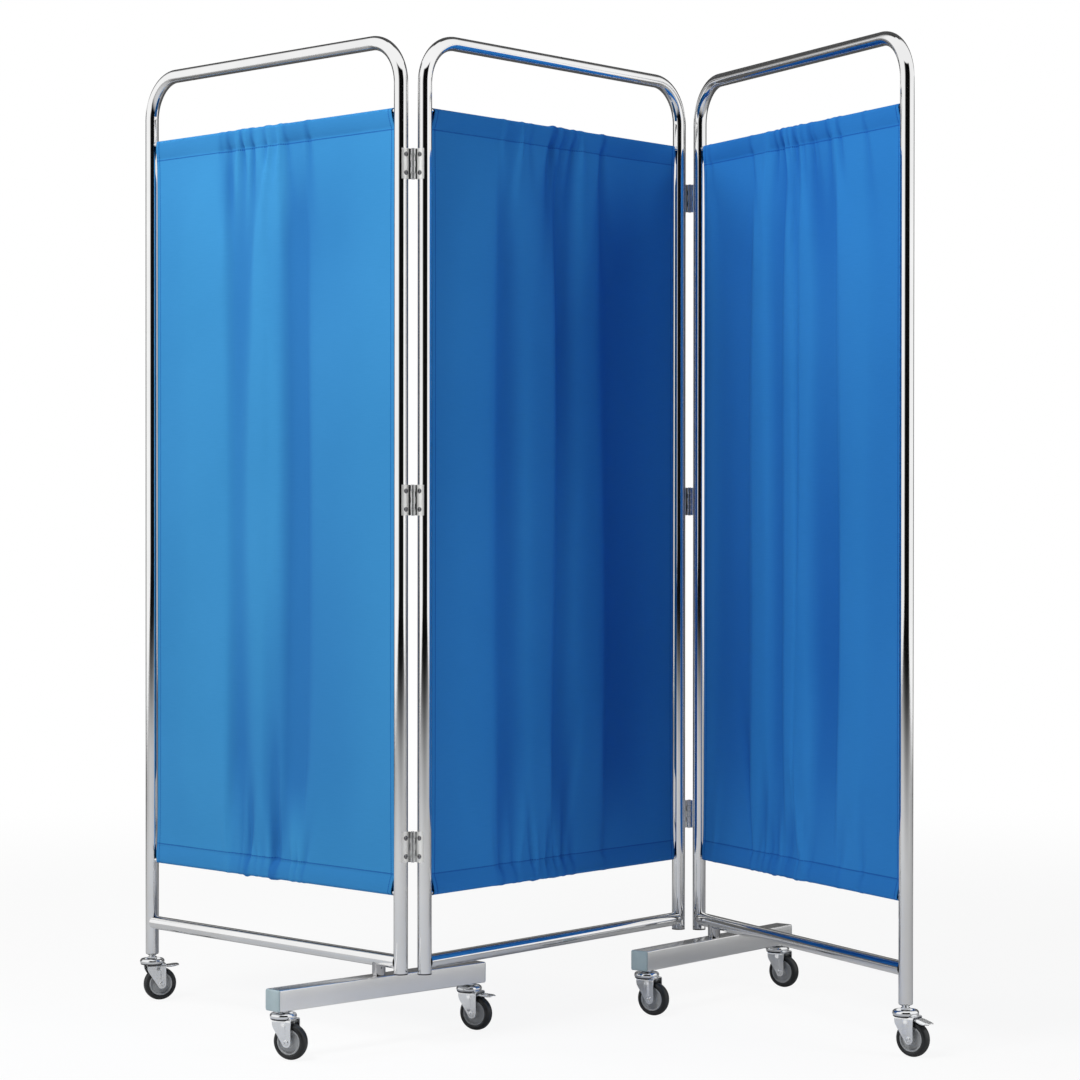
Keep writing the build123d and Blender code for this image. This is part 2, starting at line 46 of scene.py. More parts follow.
# Sizes, in metres
MM = 0.001
PANEL_WIDTH = 742 * MM
TUBE_RADIUS = 12.7 * MM
CORNER_RADIUS = 79 * MM
TOP_AXIS = 1787.3 * MM
CROSSBAR_HEIGHT = 152 * MM
HINGE_UPRIGHT_END = 132 * MM
OUTER_UPRIGHT_END = 91 * MM
END_ROLL = 1.2 * MM
PIVOT_OUTWARD = 16 * MM
PIVOT_SIDEWAYS = 13.9 * MM
CLOTH_TOP = 1668.8 * MM
CLOTH_BOTTOM = 267 * MM
HEM_DEPTH = 36.5 * MM
ROD_INSET = 7.2 * MM
ROD_RADIUS = 4 * MM
STUD_RADIUS = 4.5 * MM
STUD_LENGTH = 5.6 * MM
ROD_SIDE_GAP = 21.0 * MM
STITCH_SIDE_GAP = 16.5 * MM
BODY_SIDE_GAP = 19.0 * MM
CLOTH_GAUGE = 0.6 * MM
POCKET_ROOM = 0.9 * MM
SEAM_HALF_GAP = 0.5 * MM
FLAT_WIDTH = 720 * MM
FLAT_LENGTH = 1480 * MM
HEM_WRAP = 78.5 * MM
SIDE_HEM = 9 * MM
SIDE_HEM_SLOPE = 1.5 * MM
FOOT_LENGTH = 476 * MM
FOOT_WIDTH = 38 * MM
FOOT_BOTTOM = 85.5 * MM
FOOT_CORNER = 2.2 * MM
WHEEL_RADIUS = 31.75 * MM
TRAIL = 15 * MM
CASTORS = ("left_outer", "left_foot_near", "left_foot_far", "right_foot_near", "right_foot_far",
           "right_outer")

# Cloth: the weave, the stitches, and the painted shade on doubled hems, at the ends of the pockets and in the
# hollows of folds
WEAVE_SCALE = 420.0
WEAVE_HEIGHT = 0.25
STITCH_HALF_WIDTH = 1.1 * MM
STITCH_LENGTH = 3.2 * MM
STITCH_FROM = -0.55
STITCH_TONE = 0.8
# Painted shade on the doubled hems
PAINTED_HEM_SHADE = 0.15
# How much more the small gathers count in the painted shade of the folds than in their shape
PLEAT_SHADE = 1.7
# Painted shade at the back of each pocket's side ends, as a depth
POCKET_SHADE = 14 * MM
# Painted shade in the folds: it starts where the sheet stands less than 2 mm forward, is full 13 mm further back,
# at this tone
PAINTED_SHADE_FROM = 2 * MM
PAINTED_SHADE_RANGE = 13 * MM
PAINTED_SHADE_TONE = 0.52
# Share of the dark shade's red, green and blue kept in the deep blue of the painted shade and of the stitches
DEEP_SHARES = (0.25, 0.36, 0.66)

# Hinges, in mm: screw heads as (radius, height over the leaf), pin heads as (radius, height over
# the leaf's top)
HINGE_HEIGHTS = (357, 971.2, 1566)
LEAF_HEIGHT = 54
LEAF_RADIUS = 14.2
LEAF_GAUGE = 1.5
LEAF_FIRST, LEAF_LAST, LEAF_STEPS = 144, 228, 24
KNUCKLE_COUNT = 5
KNUCKLE_RADIUS = 4.2
KNUCKLE_EDGE = 0.3
KNUCKLE_HALF_GAP = 0.15
WEB_CLEARANCE = 0.4
WEB_OVERLAP = 1
SCREW_SPACING = 32.5
SCREW_HEAD = [(0, -0.6), (4.3, -0.6), (4.4, 0.1), (4.0, 0.6), (3.0, 1.0), (1.7, 1.1), (1.4, 0.3),
              (0, 0.3)]
PIN_HEAD = [(2.0, -1), (2.0, 0), (3.1, 0.1), (2.6, 0.6), (0, 0.7)]

# The pressed fork, in mm in the castor's own frame
FORK_OUTSIDE = 15.2
FORK_TOP = 70.2
FORK_FRONT = 20.0
FORK_FRONT_SOFT = 1.2
FORK_GAUGE = 2.0 * MM
FORK_BOSS = 8.5
FORK_BEND = 3.2
RIB_MIDDLE = 9.0
RIB_HALF_WIDTH = 4.6
RIB_LOW = 36.0
RIB_HEIGHT = 0.8

# Half profiles of wheel and axle, as (radius, place along the axle) in mm
TYRE_HALF = [(22.5, 8.6), (23.4, 9.4), (26.4, 9.9), (28.9, 8.6), (30.7, 6.0), (31.75, 2.2)]
HUB_HALF = [(3.3, 12.0), (7.2, 12.0), (7.9, 9.0), (8.6, 5.6), (12.0, 4.8), (18.2, 5.2), (19.2, 8.4),
            (20.2, 9.4), (21.6, 9.5), (22.45, 8.6)]
AXLE_HALF = [(0.0, 16.6), (2.1, 16.6), (2.5, 18.3), (4.2, 18.5), (5.2, 17.6), (5.3, 16.7),
             (7.1, 16.6), (7.3, 15.3), (3.15, 15.2)]
# Profiles on the stem, as (radius, height) in mm
RACE_DISH = [(0, 65.2), (6.6, 65.2), (7.0, 67.4), (4.5, 67.6), (4.5, 70.9), (20.6, 71.0),
             (22.6, 72.4), (23.7, 74.8), (23.6, 77.2), (22.5, 79.6), (20.7, 81.1), (19.0, 81.3),
             (17.8, 80.2), (17.2, 77.8), (15.8, 76.6), (11.2, 76.4), (10.4, 77.2), (10.0, 78.4),
             (0, 78.5)]
STEM_NUT = [(0, 78.2), (8.2, 78.2), (9.4, 79.0), (9.4, 84.2), (8.2, 85.0), (0, 85.0)]
OUTER_NECK = [(0, 84.0), (5.6, 84.0), (5.9, 85.6), (6.6, 87.2), (8.6, 88.8), (11.2, 89.7),
              (12.3, 90.7), (12.4, 91.0), (11.4, 91.2), (11.4, 107.0), (0, 107.0)]
FOOT_STEM = [(0, 84.0), (4.9, 84.0), (4.9, 97.5), (0, 97.5)]
FOOT_WASHER = [(0, 85.0), (9.8, 85.0), (9.8, 85.45), (0, 85.45)]
# Dark rings painted as shade: in the gap under the race, and in the race's groove
UNDER_RACE_SHADE = [(12.0, 70.3), (22.2, 70.3), (22.4, 71.9), (21.0, 72.6), (12.0, 72.6)]
GROOVE_SHADE = [(10.9, 76.0), (16.9, 76.0), (16.9, 77.0), (10.9, 77.0)]

# Brake pedals, in mm in the castor's own frame. Each kind: how far its tip drops and how deep its
# sides are rolled down
PEDALS = {"left_outer": "plain", "left_foot_far": "looped", "right_outer": "ribbed"}
PEDAL_KINDS = {"plain": (-1.5, 1.0), "looped": (1.0, 0.6), "ribbed": (5.5, 4.4)}
PEDAL_START = 19.0
PEDAL_TIP = 51.0
PEDAL_HEIGHT = 67.4
PEDAL_HALF_WIDTH = 12.3
PEDAL_TIP_TAPER = 3.6
PEDAL_ROOT_TAPER = 1.4
PEDAL_ROLL = 1.6
PEDAL_ROLL_WIDTH = 2.4
PEDAL_GAUGE = 1.6 * MM
PEDAL_RIBS_FROM = 0.38
PEDAL_RIB_PITCH = 0.115
PEDAL_RIB_HEIGHT = 0.8
LOOP_MIDDLE = 38.5
LOOP_HALF_LENGTH = 8.0
LOOP_HALF_WIDTH = 7.2
EAR_OUTLINE = [(8.6, 60.4), (9.2, 55.2), (13.2, 54.3), (16.0, 56.6), (25.0, 64.0), (25.0, 66.8),
               (18.0, 66.8)]
EAR_INSIDE, EAR_OUTSIDE = 11.1, 12.6
EAR_PIN_FROM, EAR_PIN_TO, EAR_PIN_RADIUS = 11.2, 15.0, 1.55
EAR_PIN_PLACE = (12 * MM, 0, 58 * MM)

# Camera: where it stood and its lens, solved from the photograph's straight edges
PHOTO_SIZE = 1080
CAMERA_PLACE = Vector((-4.3557, -3.6066, 0.9532))
CAMERA_TURN = radians(-51.92)
CAMERA_PITCH = radians(-0.455)
CAMERA_ROLL = radians(0.063)
FOCAL_PIXELS = 3026.6
PRINCIPAL_X = 640
PRINCIPAL_Y = 534.6
SENSOR_WIDTH = 36.0

# Studio: how white the floor is to the camera, the world's own light, and the lamps: name, degrees
# to the right of the camera as seen from the screen, distance, height, size and power
FLOOR_HALF = 30.0
FLOOR_GREY = 0.95
FLOOR_WHITE = 0.90
FLOOR_NEAR = 1.6
FLOOR_FAR = 4.5
WORLD_LIGHT = 0.20
LAMP_AIM = 1.4
LAMPS = (
    ("left_key", -100, 2.9, 3.4, (1.1, 1.5), 34),
    ("left_front", -54, 2.8, 3.6, (1.2, 1.5), 30),
    ("front_fill", -38, 2.8, 3.6, (1.2, 1.5), 69),
    ("right_fill", 60, 3.9, 2.8, (1.3, 2.0), 44),
)
# Flags round the screen and grey cloths on the floor, which only the metal shows. Flag: name, first
# and last turn from the camera, distance, low and high edge, lean, grey, and the soft share at its
# left, right, low and high edge
FLAG_STEPS = 24
FLAGS = (
    ("front_flag", -44, 43, 5.4, 0.0, 5.6, 0.0, 0.010, 0.24, 0.08, 0.01, 0.10),
    ("back_flag", 108, 252, 4.5, 0.0, 2.5, 0.0, 0.22, 0.08, 0.08, 0.05, 0.10),
    ("high_flag", 115, 245, 4.6, 2.3, 8.5, 3.4, 0.15, 0.15, 0.15, 0.08, 0.10),
)
# Floor cloth: name, turn from the camera, distance, half size across and along, grey, and its soft
# share at the sides, at the near end and at the far end
FLOOR_CLOTH_LIFT = 0.6
FLOOR_CLOTHS = (
    ("front_floor_cloth", 0, 1.6, 5.5, 4.5, 0.68, 0.25, 0.25, 0.25),
    ("dark_floor_cloth", 0, 4.4, 4.6, 3.0, 0.02, 0.14, 0.60, 0.25),
    ("back_floor_cloth", 180, 3.4, 5.5, 2.9, 0.20, 0.22, 0.22, 0.22),
)


# Places
def joint_place(name):
    return Vector(joints[name]["pos_m"])


def placed(x, y, z, turn=0.0, axis="Z"):
    """Turned about an axis through the origin, then moved."""
    return Matrix.Translation((x, y, z)) @ Matrix.Rotation(turn, 4, axis)


def side_panel_matrix(side):
    pivot = joint_place(side + "_panel_fold")
    stem = joint_place(side + "_outer_castor_swivel")
    reach = atan2(PIVOT_SIDEWAYS, PIVOT_OUTWARD + PANEL_WIDTH)
    turn = atan2(stem.y - pivot.y, stem.x - pivot.x) - reach
    return placed(pivot.x, pivot.y, 0, turn) @ placed(PIVOT_OUTWARD, PIVOT_SIDEWAYS, 0)


# Each panel's own frame: its hinge upright at the origin and the panel along +X
PANELS = {
    "centre": placed(-PANEL_WIDTH / 2, 0, 0),
    "left": side_panel_matrix("left"),
    "right": side_panel_matrix("right"),
}


# Mesh helpers
def linked(name, data):
    obj = bpy.data.objects.new(name, data)
    bpy.context.scene.collection.objects.link(obj)
    return obj


def new_object(name, vertices, faces, matrix=None, smooth=True, closed=True):
    mesh = bpy.data.meshes.new(name)
    mesh.from_pydata([tuple(v) for v in vertices], [], faces)
    if matrix is not None:
        mesh.transform(matrix)
    if closed:
        work = bmesh.new()
        work.from_mesh(mesh)
        bmesh.ops.remove_doubles(work, verts=work.verts, dist=0.002 * MM)
        bmesh.ops.recalc_face_normals(work, faces=work.faces)
        work.to_mesh(mesh)
        work.free()
    mesh.validate()
    mesh.polygons.foreach_set("use_smooth", [smooth] * len(mesh.polygons))
    return linked(name, mesh)


def ring_faces(rings, count):
    """Quads between neighbouring rings of count points each."""
    faces = []
    for i in range(rings - 1):
        for k in range(count):
            a, b = i * count + k, i * count + (k + 1) % count
            faces.append((a, b, b + count, a + count))
    return faces


def grid_faces(rows, columns):
    """Quads of an open grid of points, given row after row."""
    starts = [i * columns + k for i in range(rows - 1) for k in range(columns - 1)]
    return [(a, a + 1, a + columns + 1, a + columns) for a in starts]


def tube_mesh(path, radii, segments=64):
    """Vertices and faces of a round tube along a path in the plane of X and Z."""
    side = Vector((0, 1, 0))
    vertices = []
    for i, point in enumerate(path):
        along = (path[min(i + 1, len(path) - 1)] - path[max(i - 1, 0)]).normalized()
        across = along.cross(side)
        for k in range(segments):
            angle = 2 * pi * k / segments
            vertices.append(point + radii[i] * (cos(angle) * side + sin(angle) * across))
    return vertices, [(a, d, c, b) for a, b, c, d in ring_faces(len(path), segments)]


def frame_path(near_end, far_end, bend_steps=28, end_steps=5):
    """A panel's bent tube: its centre line, and its radius there, rolled in at the open ends."""
    points, radii = [], []

    def add(x, z, radius=TUBE_RADIUS):
        points.append(Vector((x, 0, z)))
        radii.append(radius)

    def add_end(x, end, share):
        rolled = TUBE_RADIUS - END_ROLL * (1 - sin(pi / 2 * share))
        add(x, end + END_ROLL * (1 - cos(pi / 2 * share)), rolled)

    bend = []
    for i in range(bend_steps + 1):
        angle = pi / 2 * i / bend_steps
        bend.append((CORNER_RADIUS * (1 - cos(angle)), TOP_AXIS - CORNER_RADIUS
                     + CORNER_RADIUS * sin(angle)))
    for i in range(end_steps + 1):
        add_end(0, near_end, i / end_steps)
    for x, z in bend:
        add(x, z)
    for x, z in reversed(bend):
        add(PANEL_WIDTH - x, z)
    for i in range(end_steps, -1, -1):
        add_end(PANEL_WIDTH, far_end, i / end_steps)
    return points, radii


def lathe(profile, segments, matrix, unit=MM):
    """Solid of revolution about Z from (radius, height) pairs, then moved."""
    vertices = []
    for radius, height in profile:
        radius, height = radius * unit, height * unit
        for k in range(segments):
            angle = 2 * pi * k / segments
            vertices.append(matrix @ Vector((radius * cos(angle), radius * sin(angle), height)))
    return vertices, ring_faces(len(profile), segments)


def slab(outline, low, high, lying=True):
    """Plate of an outline in X and Y between two heights, or in X and Z if not lying, in mm."""
    vertices = []
    for place in (low, high):
        vertices += [Vector((x, w, place) if lying else (x, place, w)) * MM for x, w in outline]
    count = len(outline)
    faces = [tuple(range(count)), tuple(reversed(range(count, 2 * count)))]
    faces += [(k, (k + 1) % count, (k + 1) % count + count, k + count) for k in range(count)]
    return vertices, faces


def mirrored(half):
    return half + [(r, -z) for r, z in reversed(half)]


def rounded(points, radius, steps=4):
    """Profile with its inner corners rounded, all in mm."""
    result = [points[0]]
    for before, corner, after in zip(points, points[1:], points[2:]):
        corner = Vector(corner)
        to_before = Vector(before) - corner
        to_after = Vector(after) - corner
        reach = min(radius, to_before.length * 0.45, to_after.length * 0.45)
        start = corner + to_before.normalized() * reach
        end = corner + to_after.normalized() * reach
        for i in range(steps + 1):
            t = i / steps
            point = start * (1 - t) ** 2 + corner * (2 * t * (1 - t)) + end * t ** 2
            result.append((point.x, point.y))
    return result + [points[-1]]


def rounded_loop(points, radius):
    closed = [points[-1]] + points + [points[0]]
    return rounded(closed, radius)[1:-1]


def joined(parts):
    """One mesh of several."""
    vertices, faces = [], []
    for more, more_faces in parts:
        start = len(vertices)
        vertices += list(more)
        faces += [tuple(start + i for i in face) for face in more_faces]
    return vertices, faces


def thicken(obj, gauge, offset):
    """Give a skin its gauge: to both sides where offset is 0, and inwards where it is -1."""
    thick = obj.modifiers.new("gauge", "SOLIDIFY")
    thick.thickness = gauge
    thick.offset = offset
    return thick


# Materials
def new_material(name, values):
    """A material whose shader has these values in its own sockets."""
    material = bpy.data.materials.new(name)
    material.use_nodes = True
    tree = material.node_tree
    shader = tree.nodes["Principled BSDF"]
    for key, value in values.items():
        shader.inputs[key].default_value = value
    return material, tree, shader


def add_node(tree, kind, inputs=None, **settings):
    node = tree.nodes.new("ShaderNode" + kind)
    for key, value in settings.items():
        setattr(node, key, value)
    for key, value in (inputs or {}).items():
        socket = live_socket(node.inputs, key)
        if isinstance(value, bpy.types.NodeSocket):
            tree.links.new(value, socket)
        else:
            socket.default_value = value
    return node


def live_socket(sockets, key):
    """The socket of that number, or the one in use of that name: a mix node has several alike."""
    if isinstance(key, int):
        return sockets[key]
    return next(socket for socket in sockets if socket.name == key and socket.enabled)


def object_position(tree):
    return add_node(tree, "TexCoord").outputs["Object"]


def sheet_place(tree):
    """The flat place on a sheet, and its two parts."""
    uv = add_node(tree, "UVMap").outputs["UV"]
    parts = add_node(tree, "SeparateXYZ", {"Vector": uv}).outputs
    return uv, parts["X"], parts["Y"]


def maths(tree, operation, *values):
    """Result of a Math node."""
    node = add_node(tree, "Math", dict(enumerate(values)), operation=operation)
    return node.outputs["Value"]


def mixed(tree, share, first, second, **settings):
    node = add_node(tree, "Mix", {"Factor": share, "A": first, "B": second}, **settings)
    return live_socket(node.outputs, "Result")


def smooth_range(tree, value, low, high, start=0.0):
    """From start where the value is low, smoothly to 1 where it is high."""
    return add_node(tree, "MapRange", {"Value": value, "From Min": low, "From Max": high,
                    "To Min": start}, interpolation_type="SMOOTHSTEP").outputs["Result"]


def ramp(tree, value, *stops):
    """Colour between two stops, each a place and a colour."""
    node = add_node(tree, "ValToRGB", {"Fac": value})
    for element, (place, colour) in zip(node.color_ramp.elements, stops):
        element.position = place
        element.color = (*colour, 1)
    return node.outputs["Color"]


def noise(tree, scale, detail=2.0, stretch=(1, 1, 1), place=None):
    """Noise over the object's own coordinates, or over those given."""
    place = object_position(tree) if place is None else place
    mapping = add_node(tree, "Mapping", {"Vector": place, "Scale": stretch})
    return add_node(tree, "TexNoise", {"Vector": mapping.outputs["Vector"],
                    "Scale": scale, "Detail": detail}).outputs["Fac"]


def add_tint(tree, shader, scale, dark, light):
    """A base colour that drifts between two shades."""
    colour = ramp(tree, noise(tree, scale, 3.0), (0.3, dark), (0.7, light))
    tree.links.new(colour, shader.inputs["Base Color"])


def add_bump(tree, shader, height, strength, distance):
    bump = add_node(tree, "Bump", {"Height": height, "Strength": strength, "Distance": distance})
    tree.links.new(bump.outputs["Normal"], shader.inputs["Normal"])


def grey(level):
    return (level, level, level)


def metal_material(name, dark, light, rough_low, rough_high, grain=(1, 1, 1), bump=0.02, scale=60,
                   metal=1.0):
    """Plated or brushed metal: its tint and gloss vary a little with fine scuffs."""
    material, tree, shader = new_material(name, {"Metallic": metal})
    add_tint(tree, shader, 9.0, dark, light)
    scuff = noise(tree, scale, 4.0, grain)
    gloss = ramp(tree, scuff, (0.35, grey(rough_low)), (0.75, grey(rough_high)))
    tree.links.new(gloss, shader.inputs["Roughness"])
    add_bump(tree, shader, scuff, bump, 0.4 * MM)
    return material


def moulded_material(name, dark, light, roughness):
    """Plastic or rubber with a fine moulded grain."""
    material, tree, shader = new_material(name, {"Roughness": roughness})
    add_tint(tree, shader, 40.0, dark, light)
    add_bump(tree, shader, noise(tree, 900, 2.0), 0.1, 0.3 * MM)
    return material


def line_mask(tree, value, places, half_width):
    """1 within half_width of either of two places along value."""
    near = [maths(tree, "COMPARE", value, place, half_width) for place in places]
    return maths(tree, "MAXIMUM", *near)


def stitched(tree, lines, along):
    """Lines cut into the stitches that run along them."""
    wave = maths(tree, "SINE", maths(tree, "MULTIPLY", along, 2 * pi / STITCH_LENGTH))
    return maths(tree, "MULTIPLY", lines, maths(tree, "GREATER_THAN", wave, STITCH_FROM))


def side_hems(tree, across):
    """1 on the doubled strip along each side edge, falling off softly inside it."""
    away = maths(tree, "ABSOLUTE", maths(tree, "SUBTRACT", across, FLAT_WIDTH / 2))
    inner = FLAT_WIDTH / 2 - SIDE_HEM * 1.15
    return smooth_range(tree, away, inner - SIDE_HEM_SLOPE, inner)


def cloth_material(name, dark, light):
    """Plain weave with slubs, slow changes of shade, doubled hems, their stitching and painted shade."""
    material, tree, shader = new_material(name, {"Roughness": 0.85, "Specular IOR Level": 0.12})
    uv, across, along = sheet_place(tree)
    threads = [add_node(tree, "TexWave", {"Vector": uv, "Scale": WEAVE_SCALE,
                        "Distortion": 0.6, "Detail": 1.0}, wave_type="BANDS",
                        bands_direction=direction).outputs["Fac"] for direction in ("X", "Y")]
    slub = noise(tree, 30.0, 3.0, (1, 24, 1), uv)
    cloud = mixed(tree, 0.35, noise(tree, 2.5, 3.0), slub)
    shade = ramp(tree, cloud, (0.3, dark), (0.7, light))
    # Stitch lines along both hems and both side edges
    hem_lines = line_mask(tree, along, (HEM_WRAP, FLAT_LENGTH - HEM_WRAP), STITCH_HALF_WIDTH)
    side_lines = line_mask(tree, across, (SIDE_HEM, FLAT_WIDTH - SIDE_HEM), STITCH_HALF_WIDTH)
    stitches = maths(tree, "MAXIMUM", stitched(tree, hem_lines, across),
                     stitched(tree, side_lines, along))
    stitches = maths(tree, "MULTIPLY", stitches, STITCH_TONE)
    # Painted shade: the doubled hems are painted darker than the body
    body = maths(tree, "COMPARE", along, FLAT_LENGTH / 2, FLAT_LENGTH / 2 - HEM_WRAP)
    hem_shade = maths(tree, "SUBTRACT", PAINTED_HEM_SHADE, maths(tree, "MULTIPLY", body, PAINTED_HEM_SHADE))
    # Painted shade: the hollow of a fold is painted a deeper blue, as it is lit mostly by its own blue
    painted_shade = add_node(tree, "Attribute", attribute_name="painted_shade")
    painted_shade = maths(tree, "MULTIPLY", painted_shade.outputs["Fac"], PAINTED_SHADE_TONE)
    tone = maths(tree, "ADD", maths(tree, "ADD", stitches, hem_shade), painted_shade)
    deep = [share * level for share, level in zip(DEEP_SHARES, dark)]
    colour = mixed(tree, tone, shade, (*deep, 1), data_type="RGBA")
    tree.links.new(colour, shader.inputs["Base Color"])
    weave = maths(tree, "MULTIPLY", maths(tree, "MULTIPLY", *threads), WEAVE_HEIGHT)
    doubled = maths(tree, "SUBTRACT", side_hems(tree, across), stitches)
    add_bump(tree, shader, maths(tree, "ADD", weave, doubled), 0.6, 0.5 * MM)
    return material


# Metals: dark and light tint, roughness from and to, then what differs from plain plate
METALS = {
    "chromed_tube": (grey(0.84), grey(0.90), 0.035, 0.075, {"bump": 0.0015, "scale": 25}),
    "hinge_steel": ((0.88, 0.88, 0.86), (0.94, 0.94, 0.92), 0.34, 0.46,
                    {"bump": 0.006, "scale": 90, "metal": 0.6}),
    "bright_fixings": ((0.78, 0.79, 0.80), (0.88, 0.89, 0.90), 0.12, 0.24,
                       {"bump": 0.01, "scale": 200}),
    "satin_bar": (grey(0.90), grey(0.94), 0.22, 0.26,
                  {"grain": (1, 30, 30), "bump": 0.008, "scale": 12}),
    "pressed_fork": ((0.86, 0.87, 0.88), (0.91, 0.92, 0.93), 0.20, 0.27, {"bump": 0.004}),
    "polished_race": ((0.80, 0.81, 0.82), (0.88, 0.89, 0.90), 0.05, 0.12, {"bump": 0.004}),
    "dark_screw": ((0.16, 0.16, 0.17), (0.24, 0.24, 0.25), 0.2, 0.35, {}),
    "post_steel": ((0.40, 0.40, 0.41), (0.54, 0.54, 0.55), 0.08, 0.16, {"bump": 0.004}),
}
# Mouldings: dark and light tint, and roughness
MOULDINGS = {
    "grey_cap": ((0.36, 0.46, 0.49), (0.43, 0.53, 0.56), 0.4),
    "wheel_hub": ((0.33, 0.34, 0.35), (0.39, 0.40, 0.41), 0.42),
    "dark_plug": ((0.03, 0.03, 0.033), (0.05, 0.05, 0.055), 0.35),
    "tyre_rubber": ((0.008, 0.009, 0.010), (0.016, 0.017, 0.018), 0.36),
}
MATERIALS = {name: metal_material(name, *look, **rest) for name, (*look, rest) in METALS.items()}
MATERIALS.update({name: moulded_material(name, *look) for name, look in MOULDINGS.items()})
BLUE_CLOTH = cloth_material("blue_cloth", (0.026, 0.204, 0.555), (0.036, 0.242, 0.625))
# Painted light: the left cloth is painted lighter and greener than the other two, which are the same cloth
CLOTHS = {
    "left": cloth_material("blue_cloth_painted_lit", (0.042, 0.262, 0.565), (0.054, 0.302, 0.635)),
    "centre": BLUE_CLOTH,
    "right": BLUE_CLOTH,
}


def paint(obj, slot_name, material=None):
    obj.data.materials.clear()
    obj.data.materials.append(material or MATERIALS[slot_name])


def shade_by_angle(obj, angle=35):
    """Smooth shading with creases where faces meet sharply."""
    bpy.context.view_layer.objects.active = obj
    for other in bpy.context.selected_objects:
        other.select_set(False)
    obj.select_set(True)
    bpy.ops.object.shade_smooth_by_angle(angle=radians(angle))
    obj.select_set(False)


def add_piece(name, mesh, matrix, slot, node, body, crease=None, material=None):
    """A new object that stands for a CAD node and rides its body."""
    piece = new_object(name, *mesh, matrix)
    paint(piece, slot, material)
    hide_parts(node)
    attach(piece, body)
    if crease:
        shade_by_angle(piece, crease)
    return piece


# The CAD nodes that stay get their slot's material
for part in frame["record"]["subparts"]:
    node = frame["nodes"][part["node"]]
    if part["material_slot"] != "blue_cloth":
        paint(node, part["material_slot"])
        shade_by_angle(node)
for side in ("left", "right"):
    paint(frame["nodes"][side + "_foot_post"], "chromed_tube", MATERIALS["post_steel"])


# Panel tubes
def add_panel_tubes(panel):
    matrix, body = PANELS[panel], panel + "_panel"
    far_end = HINGE_UPRIGHT_END if panel == "centre" else OUTER_UPRIGHT_END
    tube = tube_mesh(*frame_path(HINGE_UPRIGHT_END, far_end))
    add_piece(panel + "_bent_tube", tube, matrix, "chromed_tube", panel + "_frame", body)
    ends = (TUBE_RADIUS * 0.6, PANEL_WIDTH - TUBE_RADIUS * 0.6)
    bar = tube_mesh([Vector((x, 0, CROSSBAR_HEIGHT)) for x in ends], [TUBE_RADIUS] * 2)
    add_piece(panel + "_cross_tube", bar, matrix, "chromed_tube", panel + "_crossbar", body)


# Hinge halves, drawn in mm round a hinge upright at the origin that its panel leaves towards +X
PIVOT_PLACE = placed(-PIVOT_OUTWARD, -PIVOT_SIDEWAYS, 0)


def polar(radius, angle):
    return radius * cos(radians(angle)), radius * sin(radians(angle))


def hinge_half(height, knuckles):
    """A curved leaf, and its web with the knuckles at the given fifths of its height."""
    low, step = height - LEAF_HEIGHT / 2, LEAF_HEIGHT / KNUCKLE_COUNT
    turns = [LEAF_FIRST + (LEAF_LAST - LEAF_FIRST) * i / LEAF_STEPS for i in range(LEAF_STEPS + 1)]
    outline = [polar(LEAF_RADIUS, turn) for turn in turns]
    outline += [polar(LEAF_RADIUS - LEAF_GAUGE, turn) for turn in reversed(turns)]
    leaf, barrel = [slab(outline, low, low + LEAF_HEIGHT)], []
    pivot = Vector((-PIVOT_OUTWARD, -PIVOT_SIDEWAYS)) / MM
    along = pivot.normalized()
    side = Vector((-along.y, along.x)) * LEAF_GAUGE / 2

    def web(reach, bottom, top):
        near, far = along * (LEAF_RADIUS - LEAF_GAUGE / 2), along * reach
        return slab([near - side, far - side, far + side, near + side], bottom, top)

    radius, edge = KNUCKLE_RADIUS, KNUCKLE_EDGE
    barrel.append(web(pivot.length - radius - WEB_CLEARANCE, low, low + LEAF_HEIGHT))
    for k in knuckles:
        bottom, top = low + k * step + KNUCKLE_HALF_GAP, low + (k + 1) * step - KNUCKLE_HALF_GAP
        barrel.append(web(pivot.length - radius + WEB_OVERLAP, bottom, top))
        profile = [(0, bottom), (radius - edge, bottom), (radius, bottom + edge),
                   (radius, top - edge), (radius - edge, top), (0, top)]
        barrel.append(lathe(profile, 32, PIVOT_PLACE))
    return leaf, barrel


def hinge_screw(height):
    """Domed head with a round recess, on the leaf's middle."""
    return lathe(SCREW_HEAD, 28, placed(-LEAF_RADIUS * MM, 0, height * MM, -pi / 2, "Y"))


def hinge_pin(height):
    """Pin with a low round head at each end of the barrel."""
    upper = [(r, height + LEAF_HEIGHT / 2 + z) for r, z in PIN_HEAD]
    lower = [(r, 2 * height - z) for r, z in reversed(upper)]
    return lathe(lower + upper, 32, PIVOT_PLACE)


# Pieces drawn for the hinges: their slot, their own material and the node that they stand for
HINGE_PIECES = {
    "leaves": ("hinge_steel", None, "_hinge_leaves"),
    "barrels": ("polished_race", None, "_hinge_leaves"),
    "screws": ("bright_fixings", MATERIALS["dark_screw"], "_hinge_screws"),
    "pins": ("bright_fixings", None, "_hinge_pins"),
}


